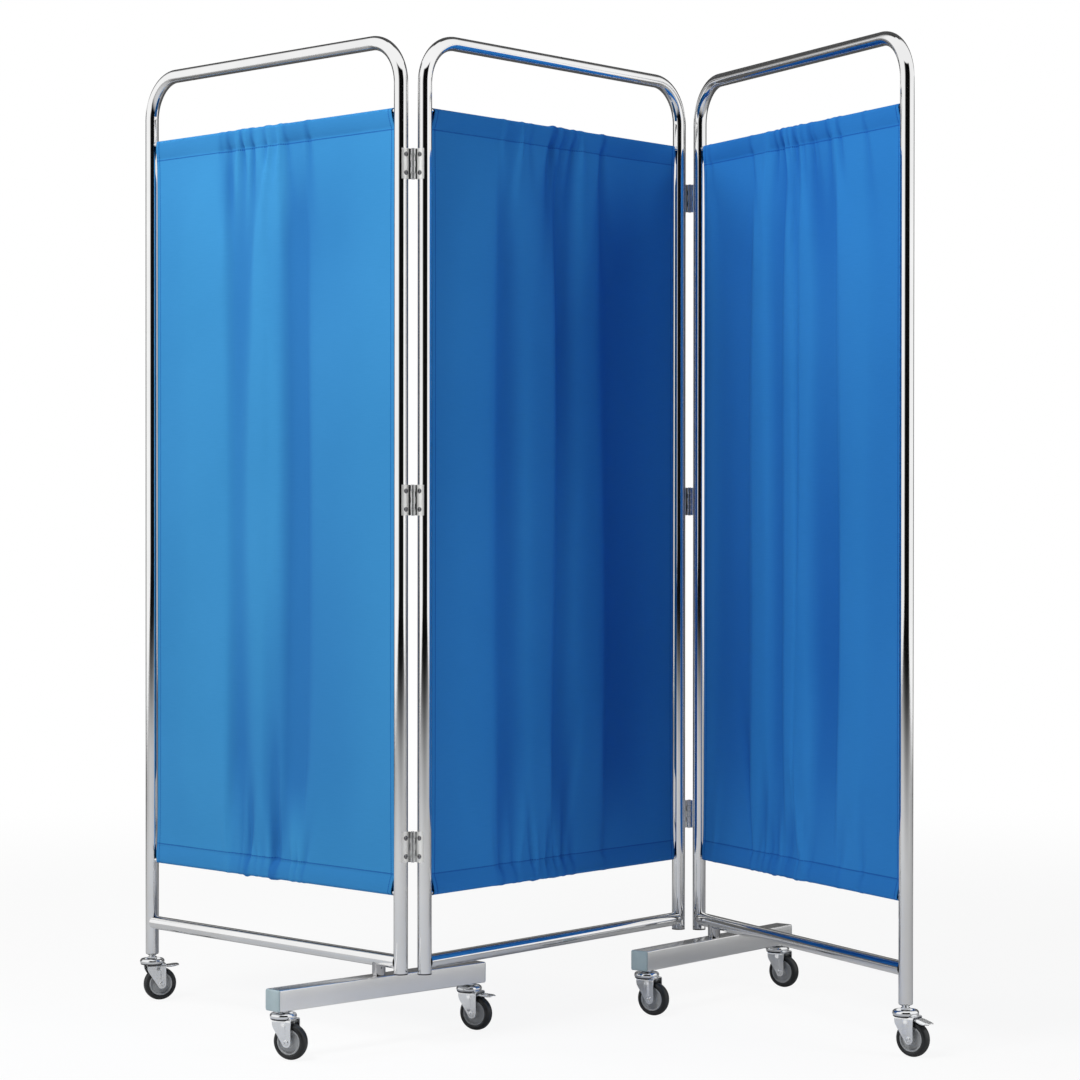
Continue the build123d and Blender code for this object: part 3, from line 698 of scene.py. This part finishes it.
def add_hinges(panel):
    flip = Matrix.Scale(-1, 4, (0, 1, 0))
    uprights, knuckles = (Matrix(),), (0, 2, 4)
    if panel == "centre":
        uprights, knuckles = (flip, placed(PANEL_WIDTH, 0, 0, pi) @ flip), (1, 3)
    drawn = {name: [] for name in HINGE_PIECES}
    for upright in uprights:
        for height in HINGE_HEIGHTS:
            offsets = (-SCREW_SPACING / 2, SCREW_SPACING / 2)
            screws = [hinge_screw(height + offset) for offset in offsets]
            groups = (*hinge_half(height, knuckles), screws, [hinge_pin(height)])
            for kept, parts in zip(drawn.values(), groups):
                kept += [([upright @ v for v in vertices], faces) for vertices, faces in parts]
    if panel == "centre":
        del drawn["pins"]
    for name, parts in drawn.items():
        slot, material, node = HINGE_PIECES[name]
        add_piece(panel + "_" + name + "_drawn", joined(parts), PANELS[panel], slot, panel + node,
                  panel + "_panel", 30, material)


# Rods with a rounded stud at each upright
def rod_profile(steps=6):
    """(Radius, place across the panel) pairs from one upright to the other, in metres."""
    stud_end = TUBE_RADIUS + STUD_LENGTH
    half = [(STUD_RADIUS, TUBE_RADIUS * 0.85)]
    for i in range(steps + 1):
        angle = pi / 2 * i / steps
        drop = (STUD_RADIUS - ROD_RADIUS) * (1 - cos(angle))
        half.append((STUD_RADIUS - drop, stud_end - STUD_RADIUS * 0.4 * (1 - sin(angle))))
    return half + [(r, PANEL_WIDTH - x) for r, x in reversed(half)]


def add_curtain_rods(panel):
    heights = (CLOTH_TOP - ROD_INSET, CLOTH_BOTTOM + ROD_INSET)
    parts = [lathe(rod_profile(), 32, placed(0, 0, height, pi / 2, "Y"), unit=1)
             for height in heights]
    return add_piece(panel + "_rods", joined(parts), PANELS[panel], "bright_fixings",
                     panel + "_curtain_rods", panel + "_panel")


# Folds of each cloth as seen in the photograph, from its left edge to its right: where the sheet
# falls back, over what half width (both as shares of the cloth's width), and by how much in mm
FOLDS = {
    "left": ((0.16, 0.100, -7), (0.315, 0.018, 17), (0.40, 0.034, -16), (0.475, 0.016, 5),
             (0.545, 0.022, 18), (0.64, 0.022, -13), (0.84, 0.090, -5)),
    "centre": ((0.12, 0.080, -6), (0.255, 0.022, 16), (0.34, 0.032, -15), (0.485, 0.013, 15),
               (0.56, 0.034, -14), (0.69, 0.022, 17), (0.88, 0.090, -13)),
    "right": ((0.05, 0.030, 9), (0.26, 0.022, -15), (0.355, 0.018, 14), (0.435, 0.018, -14),
              (0.485, 0.008, 7), (0.507, 0.008, -7), (0.575, 0.026, 16), (0.70, 0.020, -17),
              (0.83, 0.040, 8)),
}
# Middle of each cloth's gathers, as a share of its width
GATHER_MIDDLE = {"left": 0.42, "centre": 0.47, "right": 0.50}
# The face that the photograph shows, and whether its left edge is at the hinge
CLOTH_FACES = {"left": (1, False), "centre": (-1, True), "right": (-1, True)}
# Steps of a pocket's mesh from the stitch line to the rod, and round the rod
HEM_STEPS = 9
ROD_STEPS = 12


def smooth_step(value):
    value = np.clip(value, 0, 1)
    return value * value * (3 - 2 * value)


def standing_folds(panel, u, v):
    """How far the sheet stands towards the viewer at shares u across and v up, in metres."""
    rng = np.random.default_rng(len(panel))
    away = np.minimum(v, 1 - v)
    total = np.zeros_like(u)
    for place, half_width, fall in FOLDS[panel]:
        drift = 0.010 * np.sin(2 * pi * (0.7 * v + rng.uniform()))
        wide = half_width * (0.45 + 0.55 * smooth_step(away / 0.25))
        swell = 0.85 + 0.15 * np.sin(2 * pi * (1.3 * v + rng.uniform()))
        total -= fall / 2 * swell * np.tanh((u - place - drift) / wide)
    total -= total[0] * (1 - u) + total[-1] * u
    return total * MM * (0.22 + 0.78 * smooth_step(away / 0.16))


def gathers(panel, at_top):
    """Short narrow pleats at one hem: place, half width, depth in mm, length and lean. All but the
    depth are shares."""
    rng = np.random.default_rng(17 + 2 * len(panel) + at_top)
    narrow = [place for place, half_width, _ in FOLDS[panel] if half_width < 0.05]
    places = [place + rng.normal(0, 0.012) for place in narrow]
    places += [GATHER_MIDDLE[panel] + rng.normal(0, 0.09) for _ in range(12)]
    return [(place, rng.uniform(0.006, 0.012), rng.uniform(2.2, 4.8) * rng.choice((-1, -1, 1)),
             rng.uniform(0.05, 0.18), rng.uniform(-0.35, 0.35)) for place in places]


def small_gathers(panel, u, v):
    """The pleats below or above the stitch line, dying out along the sheet, in metres."""
    away = min(v, 1 - v)
    total = np.zeros_like(u)
    for place, width, depth, length, lean in gathers(panel, v > 0.5):
        shape = np.exp(-((u - place - lean * away) / (width * (1 + 2.5 * away / length))) ** 2)
        total += depth * shape * np.exp(-(away / length) ** 2)
    return total * MM


def pocket_puff(panel, u, at_top):
    """How far the pocket's pleats stand off the rod, in metres."""
    total = np.zeros_like(u)
    for place, width, depth, _, _ in gathers(panel, at_top):
        total += 0.22 * abs(depth) * np.exp(-((u - place) / width) ** 2)
    return total * MM


def hem_rows(panel, u, stitch, rod, at_top):
    """From the stitch line round the rod and back: rows of distance towards the viewer, height,
    share of the way to the stitch line and share of the way round to the back."""
    radius = ROD_RADIUS + POCKET_ROOM + pocket_puff(panel, u, at_top)
    rows = []

    def add_row(step, sign, behind):
        share = step / HEM_STEPS
        out = SEAM_HALF_GAP + (radius - SEAM_HALF_GAP) * np.sin(share * pi / 2) ** 0.9
        rows.append((sign * out, stitch + (rod - stitch) * share, 1 - share, behind))

    for i in range(1, HEM_STEPS):
        add_row(i, 1, 0.0)
    away = 1 if rod > stitch else -1
    for i in range(ROD_STEPS + 1):
        angle = pi * i / ROD_STEPS
        rows.append((radius * cos(angle), rod + away * radius * sin(angle), 0.0, i / ROD_STEPS))
    for i in range(HEM_STEPS - 1, 0, -1):
        add_row(i, -1, 1.0)
    rows.append((-SEAM_HALF_GAP, stitch, 1.0, 1.0))
    return rows


def add_curtain(panel, rods, columns=280, body_rows=112):
    face, left_is_hinge = CLOTH_FACES[panel]
    low, high = CLOTH_BOTTOM + HEM_DEPTH, CLOTH_TOP - HEM_DEPTH
    u = np.linspace(0, 1, columns)
    # Painted shade on the back of each pocket near the cloth's side edges
    side_shade = np.clip(1 - np.minimum(u, 1 - u) / 0.015, 0, 1) * POCKET_SHADE
    # Each row's points, and how deep each lies, for the painted shade of its folds
    rows, painted_shades = [], []

    def folded(v, pleats=1.0):
        return standing_folds(panel, u, v) + pleats * small_gathers(panel, u, v)

    def add_pocket(v, hem):
        for out, height, share, behind in hem:
            rows.append((out + share * share * folded(v), height, v, share, behind))
            depth = (0.7 + 0.3 * share) * folded(v, PLEAT_SHADE)
            painted_shades.append(depth - side_shade * behind)

    add_pocket(0.0, reversed(hem_rows(panel, u, low, CLOTH_BOTTOM + ROD_INSET, False)))
    for v in (1 - np.cos(pi * np.linspace(0, 1, body_rows))) / 2:
        pinch = SEAM_HALF_GAP * np.exp(-(min(v, 1 - v) / 0.01) ** 2)
        rows.append((pinch + folded(v), low + (high - low) * v, v, 1.0, 0.0))
        painted_shades.append(folded(v, PLEAT_SHADE))
    add_pocket(1.0, hem_rows(panel, u, high, CLOTH_TOP - ROD_INSET, True))
    points, flats, along = [], [], 0.0
    for index, (out, height, v, share, behind) in enumerate(rows):
        height = height + np.zeros_like(u)
        front = ROD_SIDE_GAP + (STITCH_SIDE_GAP - ROD_SIDE_GAP) * share
        front += (BODY_SIDE_GAP - STITCH_SIDE_GAP) * (1 - abs(2 * v - 1) ** 8)
        left = front + (STITCH_SIDE_GAP - front) * behind
        across = u if left_is_hinge else 1 - u
        x = left + (PANEL_WIDTH - 2 * left) * across
        points.append(np.stack([x, face * out, height], -1))
        if index:
            step = points[-1][:, 1:] - points[-2][:, 1:]
            along += float(np.median(np.linalg.norm(step, axis=1)))
        flats.append(np.stack([u * FLAT_WIDTH, np.full_like(u, along)], -1))
    faces = grid_faces(len(rows), columns)
    if (face > 0) == left_is_hinge:
        faces = [corners[::-1] for corners in faces]
    sheet = new_object(panel + "_cloth", np.concatenate(points), faces, PANELS[panel], closed=False)
    flat = np.concatenate(flats)
    flat[:, 1] *= FLAT_LENGTH / flat[-1, 1]
    layer = sheet.data.uv_layers.new(name="UVMap")
    order = np.zeros(len(sheet.data.loops), np.int32)
    sheet.data.loops.foreach_get("vertex_index", order)
    layer.data.foreach_set("uv", flat[order].ravel())
    # Painted shade for the material: 0 where the sheet stands forward, up to 1 deep in a fold
    painted_shade = sheet.data.attributes.new("painted_shade", "FLOAT", "POINT")
    share = np.clip((PAINTED_SHADE_FROM - np.concatenate(painted_shades)) / PAINTED_SHADE_RANGE, 0, 1)
    painted_shade.data.foreach_set("value", share)
    thicken(sheet, CLOTH_GAUGE, 0)
    paint(sheet, "blue_cloth", CLOTHS[panel])
    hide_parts(panel + "_curtain")
    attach(sheet, panel + "_panel")


# Castors, drawn with the stem on the Z axis and the wheel trailing along +X
def castor_matrix(castor):
    stem = joint_place(castor + "_castor_swivel")
    wheel = joint_place(castor + "_wheel_roll")
    turn = atan2(wheel.y - stem.y, wheel.x - stem.x)
    return placed(stem.x, stem.y, 0, turn)


WHEEL_PLACE = placed(TRAIL, 0, WHEEL_RADIUS, pi / 2, "X")


def add_wheel(castor):
    def add_turned(name, profile, segments, slot, body, crease=None):
        add_piece(castor + name, lathe(profile, segments, WHEEL_PLACE), castor_matrix(castor), slot,
                  castor + "_castor" + name, castor + body, crease)

    tyre = mirrored(rounded(TYRE_HALF, 2.0))
    add_turned("_tyre", tyre + tyre[:1], 96, "tyre_rubber", "_wheel")
    add_turned("_hub", mirrored(rounded(HUB_HALF, 0.9)), 96, "wheel_hub", "_wheel")
    add_turned("_axle", mirrored(AXLE_HALF), 40, "bright_fixings", "_castor", 50)


def leg_edges(height):
    """Front and back of a fork leg at a height, in mm: two tangents to the boss round the axle."""
    x, z, r = TRAIL / MM, WHEEL_RADIUS / MM, FORK_BOSS
    top_x, top_z = -FORK_FRONT, FORK_TOP
    spread = hypot(x - top_x, top_z - z)
    turn = atan2(x - top_x, top_z - z) + atan2(r, sqrt(spread * spread - r * r))
    touch_x, touch_z = x - r * cos(turn), z - r * sin(turn)
    if height >= touch_z:
        front = touch_x + (top_x - touch_x) * (height - touch_z) / (top_z - touch_z)
    else:
        front = x - sqrt(max(r * r - (height - z) ** 2, 0))
    back = x + (r if height >= z else sqrt(max(r * r - (height - z) ** 2, 0)))
    return front, back


def fork_mesh(leg_steps=26, bend_steps=8, top_steps=10, steps=30):
    """The pressed fork's outer skin, from one leg over the plate to the other."""
    outside, top, bend = FORK_OUTSIDE, FORK_TOP, FORK_BEND
    lowest = WHEEL_RADIUS / MM - FORK_BOSS
    section = []
    for i in range(leg_steps + 1):
        section.append((outside, lowest + (top - bend - lowest) * (i / leg_steps) ** 1.1))
    for i in range(1, bend_steps):
        angle = pi / 2 * i / bend_steps
        section.append((outside - bend + bend * cos(angle), top - bend + bend * sin(angle)))
    for i in range(top_steps + 1):
        section.append(((outside - bend) * (1 - i / top_steps), top))
    section += [(-y, z) for y, z in reversed(section[:-1])]
    vertices = []
    for y, z in section:
        on_leg = z < top - bend
        front, back = leg_edges(min(z, top))
        edge = -sqrt(max(FORK_FRONT ** 2 - y * y, 0))
        soft = FORK_FRONT_SOFT
        front = edge + soft * np.logaddexp(0, (front - edge) / soft) if on_leg else edge
        front = min(front, back)
        for k in range(steps + 1):
            x = front + (back - front) * k / steps
            out = 0.0
            if on_leg:
                inside = smooth_step((RIB_HALF_WIDTH - abs(x - RIB_MIDDLE)) / 1.6)
                inside *= smooth_step((z - RIB_LOW) / 5.0) * smooth_step((top - bend - z) / 9.0)
                out = RIB_HEIGHT * float(inside)
            vertices.append((x * MM, (y + (out if y > 0 else -out)) * MM, z * MM))
    return vertices, grid_faces(len(section), steps + 1)


def add_fork(castor):
    fork = new_object(castor + "_fork", *fork_mesh(), castor_matrix(castor), closed=False)
    thicken(fork, FORK_GAUGE, -1).use_even_offset = True
    edge = fork.modifiers.new("edge", "BEVEL")
    edge.width = 0.4 * MM
    edge.segments = 2
    edge.limit_method = "ANGLE"
    edge.angle_limit = radians(50)
    paint(fork, "pressed_fork")
    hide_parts(castor + "_castor_fork")
    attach(fork, castor + "_castor")


def race_parts(matrix, outer):
    """Kingpin, dished ball race, nut and stem of one castor."""
    parts = [lathe(rounded(RACE_DISH, 0.8), 72, matrix), lathe(STEM_NUT, 6, matrix)]
    if outer:
        return parts + [lathe(rounded(OUTER_NECK, 0.5), 48, matrix)]
    return parts + [lathe(FOOT_STEM, 24, matrix), lathe(FOOT_WASHER, 40, matrix)]


def shade_ring_parts(matrix):
    """Dark rings standing for the shade in the gap under the race and in its groove."""
    return [lathe(ring + ring[:1], 64, matrix) for ring in (UNDER_RACE_SHADE, GROOVE_SHADE)]


def add_mounts(name, node, body, castors, outer):
    races, shade_rings = [], []
    for castor in castors:
        races += race_parts(castor_matrix(castor), outer)
        shade_rings += shade_ring_parts(castor_matrix(castor))
    add_piece(name, joined(races), None, "polished_race", node, body, 32)
    # Painted shade: dark rings in the gap under each race and in its groove
    add_piece(name + "_seals", joined(shade_rings), None, "dark_plug", node, body, 32)


def pedal_place(share):
    return PEDAL_START + (PEDAL_TIP - PEDAL_START) * share


def pedal_mesh(kind, steps=48, across=24):
    """A pressed blade with rolled-down sides, as a grid along X and across Y, in mm."""
    tip_drop, skirt = PEDAL_KINDS[kind]
    vertices, faces = [], []
    for i in range(steps + 1):
        share = i / steps
        height = PEDAL_HEIGHT - tip_drop * smooth_step((share - 0.25) / 0.75)
        half = (PEDAL_HALF_WIDTH - PEDAL_TIP_TAPER * smooth_step((share - 0.78) / 0.22)
                - PEDAL_ROOT_TAPER * smooth_step((0.3 - share) / 0.3))
        for k in range(across + 1):
            y = -half + 2 * half * k / across
            roll = smooth_step((abs(y) - half + PEDAL_ROLL_WIDTH) / PEDAL_ROLL_WIDTH)
            roll = (PEDAL_ROLL + skirt * sin(pi * share) ** 2) * roll
            rib = 0.0
            if kind == "ribbed":
                along = share - PEDAL_RIBS_FROM
                wave = 0.5 + 0.5 * sin(2 * pi * along / PEDAL_RIB_PITCH)
                inside = smooth_step((half - 2.2 - abs(y)) / 1.0) * smooth_step(along / 0.04)
                rib = PEDAL_RIB_HEIGHT * wave ** 2 * inside * smooth_step((0.96 - share) / 0.04)
            vertices.append((pedal_place(share) * MM, y * MM, (height - roll + rib) * MM))
    for a, b, c, d in grid_faces(steps + 1, across + 1):
        i, k = divmod(a, across + 1)
        x = (pedal_place((i + 0.5) / steps) - LOOP_MIDDLE) / LOOP_HALF_LENGTH
        y = 2 * PEDAL_HALF_WIDTH * ((k + 0.5) / across - 0.5) / LOOP_HALF_WIDTH
        if kind != "looped" or x * x + y * y >= 1:
            faces.append((a, d, c, b))
    return vertices, faces


def add_pedal(castor, kind):
    matrix = castor_matrix(castor)
    pin_place = placed(*EAR_PIN_PLACE, -pi / 2, "X")
    ears = []
    for low, high in ((EAR_INSIDE, EAR_OUTSIDE), (-EAR_OUTSIDE, -EAR_INSIDE)):
        ears.append(slab(rounded_loop(EAR_OUTLINE, 1.6), low, high, lying=False))
    r = EAR_PIN_RADIUS
    for low, high in ((EAR_PIN_FROM, EAR_PIN_TO), (-EAR_PIN_TO, -EAR_PIN_FROM)):
        ears.append(lathe([(0, low), (r, low), (r, high), (0, high)], 20, pin_place))
    blade = new_object(castor + "_pedal_blade", *pedal_mesh(kind), matrix, closed=False)
    thicken(blade, PEDAL_GAUGE, -1)
    ears = new_object(castor + "_pedal_ears", *joined(ears), matrix)
    shade_by_angle(ears, 40)
    for piece in (blade, ears):
        paint(piece, "pressed_fork")
        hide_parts(castor + "_castor_brake_pedal")
        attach(piece, castor + "_brake")


def add_castors():
    for castor in CASTORS:
        add_wheel(castor)
        add_fork(castor)
    for castor, kind in PEDALS.items():
        add_pedal(castor, kind)
    for side in ("left", "right"):
        add_mounts(side + "_outer_race", side + "_outer_castor_mount", side + "_panel",
                   [side + "_outer"], True)
        add_mounts(side + "_foot_races", side + "_foot_castor_mounts", side + "_foot",
                   [side + "_foot_near", side + "_foot_far"], False)


# Feet: square bars with soft corners and crowned end caps
def foot_matrix(side):
    near, far = (joint_place(side + "_foot_" + end + "_castor_swivel") for end in ("near", "far"))
    turn = atan2(far.y - near.y, far.x - near.x)
    middle = (near + far) / 2
    height = FOOT_BOTTOM + FOOT_WIDTH / 2
    return placed(middle.x, middle.y, height, turn)


def square_ring(half, corner, steps=6):
    """Rounded square of (y, z) points."""
    points = []
    for quarter in range(4):
        for i in range(steps + 1):
            angle = pi / 2 * (quarter + i / steps)
            middle = pi / 2 * quarter + pi / 4
            cx = (half - corner) * (1 if cos(middle) > 0 else -1)
            cz = (half - corner) * (1 if sin(middle) > 0 else -1)
            points.append((cx + corner * cos(angle), cz + corner * sin(angle)))
    return points


def bar_through(sections):
    """Skin through rounded squares: each is (x, half width, corner radius)."""
    vertices = []
    for x, half, corner in sections:
        ring = square_ring(half, corner)
        vertices += [(x, y, z) for y, z in ring]
    faces = ring_faces(len(sections), len(ring))
    faces.append(tuple(range(len(ring))))
    faces.append(tuple(reversed(range(len(vertices) - len(ring), len(vertices)))))
    return vertices, faces


def cap_sections(steps=8):
    """An end cap from its spigot over its lip to its crown, for bar_through."""
    sections = [(-8, 2.2, 1), (0.1, 2.2, 1), (0.1, 0.5, 2.4), (0.5, 0.1, 2.6)]
    for i in range(1, steps + 1):
        angle = pi / 2 * i / steps
        inset = 0.1 + 3.2 * (1 - cos(angle))
        sections.append((0.5 + 3.0 * sin(angle), inset, 2.6 + 1.6 * i / steps))
    sections += [(3.9, 9, 4.4), (4.0, 16, 1.4)]
    return [(FOOT_LENGTH / 2 + out * MM, FOOT_WIDTH / 2 - inset * MM, corner * MM)
            for out, inset, corner in sections]


def add_foot(side):
    matrix, body = foot_matrix(side), side + "_foot"
    ends = (-FOOT_LENGTH / 2, FOOT_LENGTH / 2)
    bar = bar_through([(end, FOOT_WIDTH / 2, FOOT_CORNER) for end in ends])
    add_piece(side + "_square_bar", bar, matrix, "satin_bar", body + "_bar", body, 40)
    vertices, faces = bar_through(cap_sections())
    turns = [Matrix.Rotation(turn, 4, "Z") for turn in (0, pi)]
    caps = [([turned @ Vector(v) for v in vertices], faces) for turned in turns]
    add_piece(side + "_end_caps", joined(caps), matrix, "grey_cap", body + "_caps", body, 40)


for panel in PANELS:
    add_panel_tubes(panel)
    add_hinges(panel)
    add_curtain(panel, add_curtain_rods(panel))
for side in ("left", "right"):
    add_foot(side)
add_castors()


# Floor, light and camera
def show_between(tree, share, first, second):
    """The material's surface: the first shader where share is 0, the second where it is 1."""
    mix = add_node(tree, "MixShader", {"Fac": share, 1: first.outputs[0], 2: second.outputs[0]})
    tree.links.new(mix.outputs["Shader"], tree.nodes["Material Output"].inputs["Surface"])


def background_rays(tree):
    """1 for the rays that show the background: seen directly, in metal or through glass."""
    path = add_node(tree, "LightPath").outputs
    seen = maths(tree, "MAXIMUM", path["Is Camera Ray"], path["Is Glossy Ray"])
    return maths(tree, "MAXIMUM", seen, path["Is Transmission Ray"])


def add_floor():
    """Pale floor, pure white to the camera apart from the object's shadow."""
    square = ((-1, -1), (1, -1), (1, 1), (-1, 1))
    corners = [(x * FLOOR_HALF, y * FLOOR_HALF, 0) for x, y in square]
    floor = new_object("studio_floor", corners, [(0, 1, 2, 3)], smooth=False, closed=False)
    material, tree, shader = new_material(
        "studio_floor", {"Base Color": (*grey(FLOOR_GREY), 1), "Roughness": 0.9})
    glow = add_node(tree, "Emission", {"Color": (1, 1, 1, 1), "Strength": 1.0})
    away = add_node(tree, "VectorMath", {0: object_position(tree)}, operation="LENGTH")
    white = smooth_range(tree, away.outputs["Value"], FLOOR_NEAR, FLOOR_FAR, FLOOR_WHITE)
    share = maths(tree, "MULTIPLY", background_rays(tree), white)
    show_between(tree, share, shader, glow)
    floor.data.materials.append(material)


def add_world():
    world = bpy.data.worlds.new("studio")
    bpy.context.scene.world = world
    world.use_nodes = True
    tree = world.node_tree
    back = tree.nodes["Background"]
    strength = add_node(tree, "MapRange", {"Value": background_rays(tree),
                        "To Min": WORLD_LIGHT, "To Max": 1.0})
    tree.links.new(strength.outputs["Result"], back.inputs["Strength"])
    back.inputs["Color"].default_value = (1, 1, 1, 1)


def card_material(name, level, left, right, low, high):
    """A grey studio card with soft edges: U runs across it from its left edge and V up it."""
    material, tree, shader = new_material(
        name, {"Base Color": (*grey(level), 1), "Roughness": 1.0, "Specular IOR Level": 0.0})
    _, across, up = sheet_place(tree)
    share = 1.0
    for value, first, last in ((across, left, right), (up, low, high)):
        rise = smooth_range(tree, value, 0, first)
        fall = smooth_range(tree, maths(tree, "SUBTRACT", 1.0, value), 0, last)
        share = maths(tree, "MULTIPLY", maths(tree, "MULTIPLY", rise, fall), share)
    show_between(tree, share, add_node(tree, "BsdfTransparent"), shader)
    return material


def add_card(name, rows, material):
    """A sheet through two or more rows of points, low edge first, seen only in reflections."""
    across, count = len(rows[0]), len(rows)
    points = [point for row in rows for point in row]
    card = new_object(name, points, grid_faces(count, across), smooth=False, closed=False)
    layer = card.data.uv_layers.new(name="UVMap")
    for loop in card.data.loops:
        row, place = divmod(loop.vertex_index, across)
        layer.data[loop.index].uv = (place / (across - 1), row / (count - 1))
    card.data.materials.append(material)
    for ray in ("camera", "diffuse", "shadow", "transmission"):
        setattr(card, "visible_" + ray, False)


def add_lamp(name, place, target, size, power):
    lamp = bpy.data.lights.new(name, "AREA")
    lamp.shape = "RECTANGLE"
    lamp.size, lamp.size_y = size
    lamp.energy = power
    obj = linked(name, lamp)
    obj.location = place
    obj.rotation_euler = (Vector(target) - Vector(place)).to_track_quat("-Z", "Y").to_euler()
    obj.visible_glossy = False


def around(turn, distance, height):
    """A place round the screen: its turn is in degrees to the right of the camera."""
    heading = atan2(CAMERA_PLACE.y, CAMERA_PLACE.x) + radians(turn)
    return Vector((distance * cos(heading), distance * sin(heading), height))


def add_flag(name, first, last, distance, low, high, lean, level, *soft):
    turns = [first + (last - first) * i / FLAG_STEPS for i in range(FLAG_STEPS + 1)]
    rows = [[around(turn, distance - out, height) for turn in turns]
            for out, height in ((0, low), (lean, high))]
    add_card(name, rows, card_material(name, level, *soft))


def add_floor_cloth(name, height, turn, distance, half_across, half_along, level, side, near, far):
    middle, beyond = around(turn, distance, height), around(turn, distance + 1, height)
    along = (beyond - middle) * half_along
    across = Vector((-along.y, along.x, 0)).normalized() * half_across
    rows = [[middle - across + end * along, middle + across + end * along] for end in (-1, 1)]
    add_card(name, rows, card_material(name, level, side, side, near, far))


def add_studio():
    for name, turn, distance, height, size, power in LAMPS:
        add_lamp(name, around(turn, distance, height), Vector((0, 0, LAMP_AIM)), size, power)
    for flag in FLAGS:
        add_flag(*flag)
    for index, (name, *rest) in enumerate(FLOOR_CLOTHS):
        add_floor_cloth(name, FLOOR_CLOTH_LIFT * (index + 1) * MM, *rest)


def add_camera():
    data = bpy.data.cameras.new("photo_camera")
    data.sensor_width = SENSOR_WIDTH
    data.lens = FOCAL_PIXELS / PHOTO_SIZE * SENSOR_WIDTH
    data.shift_x = (PHOTO_SIZE / 2 - PRINCIPAL_X) / PHOTO_SIZE
    data.shift_y = (PRINCIPAL_Y - PHOTO_SIZE / 2) / PHOTO_SIZE
    camera = linked("photo_camera", data)
    turn = Matrix.Rotation(CAMERA_TURN, 4, "Z") @ Matrix.Rotation(pi / 2 + CAMERA_PITCH, 4, "X")
    turn = turn @ Matrix.Rotation(CAMERA_ROLL, 4, "Z")
    camera.matrix_world = Matrix.Translation(CAMERA_PLACE) @ turn
    bpy.context.scene.camera = camera


add_floor()
add_world()
add_studio()
add_camera()
bpy.context.scene.view_settings.view_transform = "Standard"
